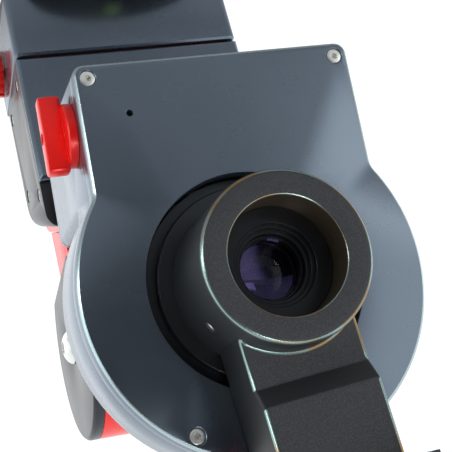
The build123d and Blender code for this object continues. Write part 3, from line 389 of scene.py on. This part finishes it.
face_heads = bmesh.new()
for place in front_screws:
    socket_head(face_heads, *place, COVER_SCREW_LOW, COVER_SCREW_TOP, COVER_HEX, COVER_HEX_DEPTH)
piece("face_screws", face_heads, HEAD, "head", [bright_steel], ["casing_screws"])
lid_heads = bmesh.new()
for x, y in LID_SCREWS:
    socket_head(lid_heads, -x, y, LID_FACE + LID_SCREW_LOW, LID_FACE + LID_SCREW_TOP, LID_HEX,
                LID_HEX_DEPTH)
piece("lid_screw_heads", lid_heads, BACKWARD, "head", [bright_steel])

# ---- Altitude bolts ----
# Stainless button-head bolts through the round caps clamp the head at its altitude. Each has a
# domed head and a hexagon recess.
altitude_axis = Vector(joints["altitude_tilt"]["pos_m"])
SIDEWAYS = axes_matrix(altitude_axis, Vector((0, 1, 0)), Vector((0, 0, 1)), across)
BOLT_BASE, BOLT_H, BOLT_R = 51.55, 3.7, 6.9
BOLT_HEX, BOLT_HEX_FLOOR = 2.9, 1.3
BOLT_DOME = [(BOLT_R - 0.3, 0), (BOLT_R, 0.35), (6.55, 1.3), (5.8, 2.2), (4.8, 2.95), (3.75, 3.45),
             (3.05, BOLT_H)]
bolts = bmesh.new()
for half_turn in (0, math.pi):
    one_bolt = bmesh.new()
    low, rim = skin(one_bolt, round_hole(0, 0, 96),
                    [(size, BOLT_BASE + z) for size, z in BOLT_DOME])
    six_top = ring(one_bolt, hexagon(BOLT_HEX), BOLT_BASE + BOLT_H)
    six_floor = ring(one_bolt, hexagon(BOLT_HEX), BOLT_BASE + BOLT_HEX_FLOOR)
    bmesh.ops.bridge_loops(one_bolt, edges=six_top + six_floor)
    close(one_bolt, rim, six_top)
    close(one_bolt, six_floor)
    close(one_bolt, low)
    bmesh.ops.rotate(one_bolt, verts=one_bolt.verts, cent=(0, 0, 0),
                     matrix=Matrix.Rotation(half_turn, 3, "X"))
    spare = mesh_data("spare", one_bolt)
    bolts.from_mesh(spare)
    bpy.data.meshes.remove(spare)
piece("altitude_bolts", bolts, SIDEWAYS, "head", [bright_steel], ["pivot_bolts"])

# ---- Output disc ----
# A turned disc that the arm bolts to, with a thin skirt behind it that closes the gap to the
# cover's bore. Both are anodised black.
DISC_R, DISC_HOLE, DISC_FRONT, DISC_BREAK = 34.6, 14, -2.4, 0.35
SKIRT_R, SKIRT_FRONT, SKIRT_BACK = 38.2, -6.6, -10.4
disc_black = metal_skin("disc_black", (0.060, 0.066, 0.074), roughness=0.30, metallic=0.85,
                        grain_mm=0.22, grain_depth_mm=0.002, cloud=0.06, edge_mm=0.2, speckle=0.12)
disc = bmesh.new()
turned(disc, [(DISC_HOLE, SKIRT_BACK), (SKIRT_R, SKIRT_BACK), (SKIRT_R, SKIRT_FRONT),
              (DISC_R, SKIRT_FRONT), (DISC_R, DISC_FRONT - DISC_BREAK),
              (DISC_R - DISC_BREAK, DISC_FRONT), (DISC_HOLE, DISC_FRONT)], 160)
piece("turning_disc", disc, HEAD, "polar_axis", [disc_black], ["output_disc"])

# ---- Hub and arm ----
# A thick hub ring and a broad arm, cast as one and bead-blasted before anodising, so the skin
# is matte and coarsely speckled. Its upright sides and its ramp get a darker copy of the skin,
# painted shade. The rims, the arm's top edges and a band on the fillet at the hub's foot get a
# lighter bronze-and-mint metal: worn edge and painted highlight on the rims and arm edges,
# painted highlight alone on the fillet. The bore is lined with dark bronze.
HUB_R, HUB_BORE, HUB_H = 29.2, 20.0, 37.4
RIM_R, LIP_R, FILLET_R = 2.2, 0.8, 1.3
ARM_TURN, ARM_SLICES = 6.0, 20
ARM_HALF, ARM_BACK, ARM_LOW, ARM_HIGH = 20.6, 1.0, 25.3, 30.4
RAMP_START, RAMP_END, ARM_END = 38.0, 44.8, 104.0
ROOT_R = 25.0
SIDE_ROUND, RAMP_ROUND = 1.1, 0.8
GRUB_TURNS = (34 - ARM_TURN, 154 - ARM_TURN, 274 - ARM_TURN)
GRUB_Z, GRUB_HOLE, GRUB_DRILL_AT, GRUB_DRILL = 16.0, 2.05, 26.5, 7
BLASTED, WEAR_AND_HIGHLIGHT, BRONZE, PAINTED_SHADE = range(4)
ARM = HEAD @ Matrix.Rotation(math.radians(ARM_TURN), 4, "Z")


def blasted_skin(name, colour, roughness):
    """Bead-blasted and anodised: a matte dark skin with fine pits and scattered light specks."""
    material = metal_skin(name, colour, roughness, metallic=0.0, grain_mm=0.55,
                          grain_depth_mm=0.030, cloud=0.12, edge_mm=0.3, speckle=0.3)
    tree = material.node_tree
    shader = tree.nodes["Principled BSDF"]
    shader.inputs["Specular IOR Level"].default_value = 0.3
    ground = shader.inputs["Base Color"].links[0].from_socket
    where = add_node(tree, "ShaderNodeTexCoord")
    dots = add_node(tree, "ShaderNodeTexVoronoi", {"Scale": 1900.0})
    tree.links.new(where.outputs["Object"], dots.inputs["Vector"])
    chosen = add_node(tree, "ShaderNodeMapRange", {"From Min": 0.30, "From Max": 0.08})
    tree.links.new(dots.outputs["Distance"], chosen.inputs["Value"])
    lighter = add_node(tree, "ShaderNodeMix", {"B": (0.13, 0.13, 0.125, 1)}, data_type="RGBA")
    tree.links.new(chosen.outputs["Result"], lighter.inputs["Factor"])
    tree.links.new(ground, lighter.inputs["A"])
    tree.links.new(lighter.outputs["Result"], shader.inputs["Base Color"])
    return material


blasted = blasted_skin("blasted_black", (0.046, 0.047, 0.052), 0.46)
# Lighter edge metal for the rims, the arm's top edges and the fillet: worn edge and painted
# highlight. Its tint ramp mixes bronze and mint at random.
wear_and_highlight_edge = metal_skin("wear_and_highlight_edge", (0.30, 0.34, 0.33), roughness=0.26, metallic=0.95,
                       grain_mm=0.4, grain_depth_mm=0.004, cloud=0.2, edge_mm=0.1, speckle=0.25)
wear_and_highlight_tint = next(node for node in wear_and_highlight_edge.node_tree.nodes if node.type == "VALTORGB")
set_stops(wear_and_highlight_tint, [(0.42, (0.34, 0.22, 0.10)), (0.52, (0.27, 0.38, 0.36))])
# A darker copy of the blasted skin for the upright walls and the ramp: painted shade.
painted_shade_side = metal_skin("painted_shade_side", (0.010, 0.012, 0.014), roughness=0.50, metallic=0.0,
                         grain_mm=0.55, grain_depth_mm=0.020, cloud=0.12, edge_mm=0.3)
bore_bronze = metal_skin("bore_bronze", (0.20, 0.155, 0.105), roughness=0.28, metallic=0.85,
                         grain_mm=0.3, grain_depth_mm=0.004, cloud=0.12, edge_mm=0.1)

hub_ring = bmesh.new()
outer_rim = arc(HUB_R - RIM_R, HUB_H - RIM_R, RIM_R, 0, 90, 6)
inner_rim = arc(HUB_BORE + LIP_R, HUB_H - LIP_R, LIP_R, 90, 180, 4)
turned(hub_ring, [(HUB_BORE, DISC_FRONT), (HUB_R, DISC_FRONT)] + outer_rim + inner_rim, 160)
bmesh.ops.recalc_face_normals(hub_ring, faces=hub_ring.faces)
# The bore gets bronze; the rounds of both rims get the lighter edge metal, worn edge and painted
# highlight.
for face in hub_ring.faces:
    middle = face.calc_center_median()
    if math.hypot(middle.x, middle.y) < HUB_BORE + 0.25:
        face.material_index = BRONZE
    elif middle.z > HUB_H - 1.35 and 0.35 < face.normal.z < 0.85:
        face.material_index = WEAR_AND_HIGHLIGHT
drills = bmesh.new()
for turn in GRUB_TURNS:
    drill_place = (Matrix.Rotation(math.radians(turn), 4, "Z")
                   @ Matrix.Translation((GRUB_DRILL_AT, 0, GRUB_Z))
                   @ Matrix.Rotation(math.pi / 2, 4, "Y"))
    bmesh.ops.create_cone(drills, cap_ends=True, cap_tris=False, segments=32, radius1=GRUB_HOLE,
                          radius2=GRUB_HOLE, depth=GRUB_DRILL, matrix=drill_place)
ring_holder = set_out("ring_holder", mesh_data("whole_ring", hub_ring))
drill_holder = set_out("drill_holder", mesh_data("drills", drills))
for holder in (ring_holder, drill_holder):
    for finish in (blasted, wear_and_highlight_edge, bore_bronze):
        holder.data.materials.append(finish)
cut = ring_holder.modifiers.new("cut", "BOOLEAN")
cut.operation = "DIFFERENCE"
cut.solver = "EXACT"
cut.object = drill_holder
settled = bpy.context.evaluated_depsgraph_get()
drilled = bpy.data.meshes.new_from_object(ring_holder.evaluated_get(settled))
hub = bmesh.new()
hub.from_mesh(drilled)
for spare in (ring_holder.data, drill_holder.data, drilled):
    bpy.data.meshes.remove(spare)

loops = []
for i in range(ARM_SLICES + 1):
    x = -ARM_HALF + 2 * ARM_HALF * i / ARM_SLICES
    root, wall = math.sqrt(ROOT_R**2 - x**2), math.sqrt(HUB_R**2 - x**2)
    side = [(root, ARM_BACK), (ARM_END, ARM_BACK), (ARM_END, ARM_HIGH), (RAMP_END, ARM_HIGH),
            (RAMP_START, ARM_LOW), (wall + FILLET_R, ARM_LOW),
            (wall + 0.38 * FILLET_R, ARM_LOW + 0.3), (wall - 0.1, ARM_LOW + FILLET_R),
            (root, ARM_LOW + FILLET_R)]
    corners = [hub.verts.new((x, y, z)) for y, z in side]
    loops.append([hub.edges.new((corners[k - 1], corners[k])) for k in range(len(corners))])
for low, high in zip(loops, loops[1:]):
    for face in bmesh.ops.bridge_loops(hub, edges=low + high)["faces"]:
        middle = face.calc_center_median()
        out = math.hypot(middle.x, middle.y)
        # A thin band on the fillet at the hub's foot gets the lighter edge metal: a painted
        # highlight.
        fillet_highlight = (HUB_R < out < HUB_R + FILLET_R
                     and ARM_LOW + 0.05 < middle.z < ARM_LOW + 0.3)
        face.material_index = WEAR_AND_HIGHLIGHT if fillet_highlight else BLASTED
close(hub, loops[0])
close(hub, loops[-1])


def along_side(edge):
    """Long edges of the arm's two sides and of its end, away from the hub."""
    a, b = (v.co for v in edge.verts)
    at_side = all(abs(abs(p.x) - ARM_HALF) < 0.01 or p.y > ARM_END - 0.01 for p in (a, b))
    past_root = min(a.y, b.y) > 18 and max(a.z, b.z) > ARM_BACK - 0.01
    return at_side and past_root and abs(a.y - b.y) > 0.01


def across_ramp(edge):
    """The two edges where the ramp begins and ends."""
    a, b = (v.co for v in edge.verts)
    at_ramp = all(abs(p.y - RAMP_START) < 0.6 or abs(p.y - RAMP_END) < 0.6 for p in (a, b))
    return at_ramp and abs(a.y - b.y) < 0.01 < abs(a.x - b.x)


sides = [e for e in hub.edges
         if len(e.link_faces) == 2 and e.calc_face_angle(0) > 0.5 and along_side(e)]
for face in bmesh.ops.bevel(hub, geom=sides, offset=SIDE_ROUND, segments=3, profile=0.5,
                            affect="EDGES", material=-1)["faces"]:
    # The rounds along the arm's top edges get the lighter edge metal, worn edge and painted
    # highlight; those on the ramp and lower stay blasted.
    middle = face.calc_center_median()
    on_ramp = RAMP_START - 0.5 < middle.y < RAMP_END + 0.5
    face.material_index = WEAR_AND_HIGHLIGHT if middle.z > ARM_LOW - 2 and not on_ramp else BLASTED
for face in bmesh.ops.bevel(hub, geom=[e for e in hub.edges if across_ramp(e)], offset=RAMP_ROUND,
                            segments=3, profile=0.5, affect="EDGES", material=-1)["faces"]:
    face.material_index = BLASTED
# The upright walls and the ramp get the darker side skin: painted shade.
for face in hub.faces:
    middle = face.calc_center_median()
    on_ramp = RAMP_START < middle.y < RAMP_END and middle.z > ARM_LOW - 0.1
    upright_wall = abs(face.normal.z) < 0.3
    if face.material_index == BLASTED and (on_ramp or upright_wall) and middle.y < ARM_END - 1:
        face.material_index = PAINTED_SHADE
piece("hub_and_arm", hub, ARM, "polar_axis", [blasted, wear_and_highlight_edge, bore_bronze, painted_shade_side],
      ["hub_arm"])
eased_copy("hub_grubs", "hub_set_screws", "polar_axis", bright_steel, 0.1)

# ---- Polar scope front ----
# A turned black cell stepped down like a lens barrel, with a threaded ring over the objective.
# Behind the coated front lens stands a second, hollow-ground element with a violet coating.
CELL_R, CELL_HOLE, CELL_BACK, CELL_SHELF, CELL_FRONT = 19.95, 10, 8, 11, 23
CELL_STEPS = [(14.2, 23, 21.3), (12.9, 21.3, 19.6), (11.5, 19.6, CELL_SHELF)]
CELL_BREAK = 0.2
RING_IN, RING_OUT, RING_LOW, RING_TOP, RING_BREAK = 10.6, 11.45, 13.6, 17.2, 0.1
LENS_R, LENS_LOW, LENS_RIM = 11.4, 11.2, 13.4
LENS_FACE = (10.5, 13.5, 15.6)
SECOND_R, SECOND_LOW, SECOND_RIM = 9.7, 2.0, 8.9
SECOND_FACE = (9.6, 9.0, 8.3)
# Faint violet and orange patches in the second lens's base colour: painted glints.
COATING_GLINT_STOPS = [(0.40, (0.001, 0.001, 0.002)), (0.52, (0.002, 0.002, 0.005)),
                 (0.62, (0.004, 0.003, 0.010)), (0.70, (0.010, 0.005, 0.006))]
barrel_black = metal_skin("barrel_black", (0.020, 0.022, 0.026), roughness=0.30, metallic=0.6,
                          grain_mm=0.25, grain_depth_mm=0.002, cloud=0.08, edge_mm=0.12,
                          speckle=0.1)


def coated_glass(name, tint, index):
    """Clear optical glass with a low-reflection coating."""
    material, tree, shader = new_material(name)
    link = tree.links.new
    shader.inputs["IOR"].default_value = index
    shader.inputs["Transmission Weight"].default_value = 1.0
    where = add_node(tree, "ShaderNodeTexCoord")
    film = add_node(tree, "ShaderNodeTexNoise", {"Scale": 60.0})
    link(where.outputs["Object"], film.inputs["Vector"])
    haze = add_node(tree, "ShaderNodeMapRange", {"To Min": 0.0, "To Max": 0.004})
    link(film.outputs["Fac"], haze.inputs["Value"])
    link(haze.outputs["Result"], shader.inputs["Roughness"])
    body = add_node(tree, "ShaderNodeMix", {"A": (*tint, 1), "B": (*[c * 0.94 for c in tint], 1)},
                    data_type="RGBA")
    link(film.outputs["Fac"], body.inputs["Factor"])
    link(body.outputs["Result"], shader.inputs["Base Color"])
    return material


def dark_coating(name, tint, index):
    """Dark glass under a tinted coating that gives clear, coloured reflections, over a near-black
    base with faint violet and orange patches that are painted glints.
    """
    material, tree, shader = new_material(name)
    link = tree.links.new
    shader.inputs["IOR"].default_value = index
    shader.inputs["Specular Tint"].default_value = (*tint, 1)
    shader.inputs["Roughness"].default_value = 0.01
    where = add_node(tree, "ShaderNodeTexCoord")
    glint_patches = add_node(tree, "ShaderNodeTexNoise", {"Scale": 260.0, "Detail": 1.0})
    link(where.outputs["Object"], glint_patches.inputs["Vector"])
    painted_glint_tint = add_node(tree, "ShaderNodeValToRGB")
    set_stops(painted_glint_tint, COATING_GLINT_STOPS)
    link(glint_patches.outputs["Fac"], painted_glint_tint.inputs["Fac"])
    link(painted_glint_tint.outputs["Color"], shader.inputs["Base Color"])
    return material


def ground_face(radius, edge_z, middle_z, steps=10):
    """Profile of a lens face from its rim to its middle, domed or hollow."""
    rise = middle_z - edge_z
    curve = (radius**2 + rise**2) / (2 * abs(rise))
    sweep = math.asin(radius / curve)
    turns = [sweep * (1 - i / steps) for i in range(steps + 1)]
    return [(curve * math.sin(a), middle_z - math.copysign(curve * (1 - math.cos(a)), rise))
            for a in turns]


front_glass = coated_glass("front_glass", (0.86, 0.84, 0.98), 1.28)
violet_coating = dark_coating("violet_coating", (0.55, 0.45, 1.0), 1.75)
cell_profile = [(CELL_HOLE, CELL_BACK), (CELL_R, CELL_BACK), (CELL_R, CELL_FRONT - CELL_BREAK),
                (CELL_R - CELL_BREAK, CELL_FRONT)]
for radius, top, floor_z in CELL_STEPS:
    cell_profile += [(radius + CELL_BREAK, top), (radius, top - CELL_BREAK), (radius, floor_z)]
cell = bmesh.new()
turned(cell, cell_profile + [(CELL_HOLE, CELL_SHELF)], 160)
piece("scope_cell", cell, HEAD, "polar_axis", [barrel_black], ["objective_cell"])
clamp_ring = bmesh.new()
turned(clamp_ring, [(RING_IN, RING_LOW), (RING_OUT, RING_LOW), (RING_OUT, RING_TOP - RING_BREAK),
                    (RING_OUT - RING_BREAK, RING_TOP), (RING_IN + 2 * RING_BREAK, RING_TOP),
                    (RING_IN, RING_TOP - 2 * RING_BREAK)])
piece("lens_ring", clamp_ring, HEAD, "polar_axis", [barrel_black], ["lens_retainer"])
lens = bmesh.new()
turned(lens, [(0, LENS_LOW), (LENS_R, LENS_LOW), (LENS_R, LENS_RIM)] + ground_face(*LENS_FACE), 96)
piece("front_lens", lens, HEAD, "polar_axis", [front_glass], ["objective_lens"])
second = bmesh.new()
turned(second, [(0, SECOND_LOW), (SECOND_R, SECOND_LOW), (SECOND_R, SECOND_RIM)]
       + ground_face(*SECOND_FACE), 96)
piece("second_lens", second, HEAD, "polar_axis", [violet_coating])
machined(front_glass, "reticle")

# ---- Clutch knob ----
# A red wing knob turned and milled from bar: a round boss and a rounded wing across it, with
# the screw that holds it to its stud sunk in a round recess.
BOSS_R, BOSS_H, BOSS_LOW, BOSS_BREAK = 11.7, 3.4, 0.02, 0.5
WING_LEN, WING_W, WING_CORNER, WING_OUT, WING_SHIFT = 29.0, 7.0, 2.0, 10.9, -0.6
WING_EDGE = [(0.6, BOSS_H - 0.4), (0.15, BOSS_H + 0.1), (0, BOSS_H + 0.7), (0, WING_OUT - 1.0),
             (0.3, WING_OUT - 0.3), (1.0, WING_OUT)]
RECESS_R, RECESS_DEPTH, RECESS_BREAK = 2.2, 3, 0.3
knob_axis = Vector(joints["clutch_turn"]["pos_m"])
KNOB = axes_matrix(knob_axis, up_face, sky_axis, across)


def rounded_bar(inset):
    """Outline of the wing, set in evenly."""
    x, y = WING_LEN / 2 - WING_CORNER, WING_W / 2 - WING_CORNER
    corners = [(x, y, 0), (-x, y, 90), (-x, -y, 180), (x, -y, 270)]
    return [point for cx, cy, turn in corners
            for point in arc(WING_SHIFT + cx, cy, WING_CORNER - inset, turn, turn + 90, 6)]


wing = bmesh.new()
boss_low, boss_top = skin(wing, round_hole(0, 0, 96),
                          [(BOSS_R, BOSS_LOW), (BOSS_R, BOSS_H - BOSS_BREAK),
                           (BOSS_R - BOSS_BREAK, BOSS_H)])
close(wing, boss_low)
close(wing, boss_top)
bar_low, bar_top = skin(wing, rounded_bar, WING_EDGE)
recess_floor, recess_rim = skin(wing, round_hole(0, 0, 40),
                                [(RECESS_R, WING_OUT - RECESS_DEPTH),
                                 (RECESS_R, WING_OUT - RECESS_BREAK),
                                 (RECESS_R + RECESS_BREAK, WING_OUT)])
close(wing, recess_floor)
close(wing, bar_top, recess_rim)
close(wing, bar_low)
piece("clutch_wing", wing, KNOB, "clutch", [red], ["clutch_knob"])
machined(steel, "clutch_stud")

# ---- Dovetail saddle ----
# A blasted aluminium saddle on the end of the arm takes the camera plate. A red jaw and a red
# fluted knob clamp it.
eased_copy("dovetail_saddle", "saddle_body", "polar_axis", blasted, 0.3)
eased_copy("clamp_jaw", "saddle_jaw", "saddle_jaw", red, 0.3)
eased_copy("clamp_grip", "saddle_knob", "saddle_knob", red, 0.3)

# ---- Drive inside the head ----
# A stepper motor turns a steel worm through a rubber toothed belt, and the worm turns a bronze
# wheel on the polar shaft. The control board stands beside them.
rubber = metal_skin("black_rubber", (0.014, 0.014, 0.015), roughness=0.75, metallic=0.0,
                    grain_mm=0.4, grain_depth_mm=0.02, cloud=0.15)
board = metal_skin("circuit_board", (0.02, 0.16, 0.06), roughness=0.4, metallic=0.0,
                   grain_mm=0.8, grain_depth_mm=0.02, cloud=0.2)
machined(steel, "ra_shaft", "ra_worm", "polar_bearings", "worm_bearings", "ra_motor",
         "worm_pulley", "motor_pulley")
machined(bronze, "ra_worm_wheel")
machined(rubber, "drive_belt")
machined(black, "worm_bracket")
machined(board, "control_board")

# ---- Polar scope tube and eyepiece ----
# The scope's tube runs down the hollow polar shaft and is held at its back end by a threaded
# ring. The fluted eyepiece turns to focus, and a rubber cup shades the eye.
machined(black, "polar_scope_tube", "shaft_locknut")
eased_copy("rear_ring", "bearing_retainer", "head", black, 0.3)
eased_copy("focus_grip", "eyepiece", "focuser", black, 0.2)
eased_copy("eye_shade", "eyecup", "focuser", rubber, 0.3)
machined(front_glass, "eyepiece_lens")

# ---- Studio: floor, light and camera ----
# A pale floor that glows though it is no lamp, painted light: evenly where the camera sees it,
# and for the light it gives, from none in front to full behind the mount. A white room with soft
# light all round, and a dim room behind the camera.
# The camera stands in front, to one side and above, and is turned over: the base is at the top.
FLOOR_SIZE, FLOOR_DROP, FLOOR_SEEN_GLOW = 4.0, 0.0004, 0.7
FLOOR_GLOW_FROM, FLOOR_GLOW_FULL, FLOOR_GLOW = -0.08, 0.12, 1.1
DIM_SIDE = (HEAD.to_3x3() @ Vector((0.45, 0.10, 0.89))).normalized()
ROOM_STOPS = [(0.58, (1.05, 1.08, 1.1)), (0.64, (0.52, 0.56, 0.60)),
              (0.70, (0.06, 0.068, 0.08)), (0.80, (0.006, 0.007, 0.009))]
CAMERA_LENS, CAMERA_ROLL = 103.5, math.radians(11.08)
CAMERA_PLACE, CAMERA_AIM = Vector((137.9, 74.7, 422.5)), Vector((7.2, -20.3, 0.0))
scene = bpy.context.scene
scene.view_settings.view_transform = "Standard"

floor_mesh = bmesh.new()
bmesh.ops.create_grid(floor_mesh, x_segments=8, y_segments=8, size=FLOOR_SIZE)
floor_data = mesh_data("floor", floor_mesh)
floor_data.transform(Matrix.Translation((0, 0, -FLOOR_DROP)))
floor = set_out("floor", floor_data)
floor_paint, floor_tree, floor_shader = new_material("pale_floor")
floor_shader.inputs["Base Color"].default_value = (0.38, 0.39, 0.40, 1)
floor_shader.inputs["Roughness"].default_value = 0.7
floor_shader.inputs["Emission Color"].default_value = (1, 1, 1, 1)
floor_link = floor_tree.links.new
floor_where = add_node(floor_tree, "ShaderNodeTexCoord")
floor_split = add_node(floor_tree, "ShaderNodeSeparateXYZ")
floor_link(floor_where.outputs["Object"], floor_split.inputs["Vector"])
# Painted glow: the floor gives light, none at its front and full behind the mount (+Y).
floor_back_glow = add_node(floor_tree, "ShaderNodeMapRange",
                     {"From Min": FLOOR_GLOW_FROM, "From Max": FLOOR_GLOW_FULL,
                      "To Max": FLOOR_GLOW})
floor_link(floor_split.outputs["Y"], floor_back_glow.inputs["Value"])
floor_seen = add_node(floor_tree, "ShaderNodeLightPath")
floor_glow = add_node(floor_tree, "ShaderNodeMix", {"B": FLOOR_SEEN_GLOW})
floor_link(floor_seen.outputs["Is Camera Ray"], floor_glow.inputs["Factor"])
floor_link(floor_back_glow.outputs["Result"], floor_glow.inputs["A"])
floor_link(floor_glow.outputs["Result"], floor_shader.inputs["Emission Strength"])
floor_data.materials.append(floor_paint)

world = bpy.data.worlds.new("studio")
world.use_nodes = True
room = world.node_tree
room_link = room.links.new
sky_view = add_node(room, "ShaderNodeTexCoord")
dim_way = add_node(room, "ShaderNodeVectorMath", operation="DOT_PRODUCT")
dim_way.inputs[1].default_value = DIM_SIDE
room_link(sky_view.outputs["Generated"], dim_way.inputs[0])
room_tone = add_node(room, "ShaderNodeValToRGB")
set_stops(room_tone, ROOM_STOPS)
room_link(dim_way.outputs["Value"], room_tone.inputs["Fac"])
room_seen = add_node(room, "ShaderNodeLightPath")
room_mix = add_node(room, "ShaderNodeMix", {"B": (1, 1, 1, 1)}, data_type="RGBA")
room_link(room_seen.outputs["Is Camera Ray"], room_mix.inputs["Factor"])
room_link(room_tone.outputs["Color"], room_mix.inputs["A"])
room_link(room_mix.outputs["Result"], room.nodes["Background"].inputs["Color"])
room.nodes["Background"].inputs["Strength"].default_value = 1.0
scene.world = world


def softbox(name, place, target, width, height, power, colour=(1, 1, 1)):
    """One large rectangular light that faces a point, all in head millimetres."""
    lamp = bpy.data.lights.new(name, "AREA")
    lamp.shape = "RECTANGLE"
    lamp.size, lamp.size_y = width, height
    lamp.energy = power
    lamp.color = colour
    holder = set_out(name, lamp)
    start, end = HEAD @ Vector(place), HEAD @ Vector(target)
    holder.location = start
    holder.rotation_mode = "QUATERNION"
    holder.rotation_quaternion = (end - start).to_track_quat("-Z", "Y")


softbox("big_window", (-680, -520, 480), (0, 0, 0), 0.8, 0.7, 3.2, (1.0, 0.99, 0.97))
softbox("side_strip", (640, -120, 120), (0, 0, 0), 0.25, 0.9, 0.8, (0.85, 1.0, 0.97))
softbox("left_fill", (620, -380, 300), (0, -40, 0), 0.5, 0.5, 5.0, (1.0, 0.98, 0.96))
softbox("small_lamp", (40, 560, 620), (0, 0, 0), 0.22, 0.22, 2.0)

camera_data = bpy.data.cameras.new("camera")
camera_data.lens = CAMERA_LENS
camera = set_out("camera", camera_data)
stand, aim = HEAD @ CAMERA_PLACE, HEAD @ CAMERA_AIM
forward = (aim - stand).normalized()
upright = (-up_face + forward * up_face.dot(forward)).normalized()
upright.rotate(Matrix.Rotation(CAMERA_ROLL, 3, forward))
camera_axes = Matrix((forward.cross(upright), upright, -forward)).transposed()
camera.matrix_world = Matrix.Translation(stand) @ camera_axes.to_4x4()
scene.camera = camera
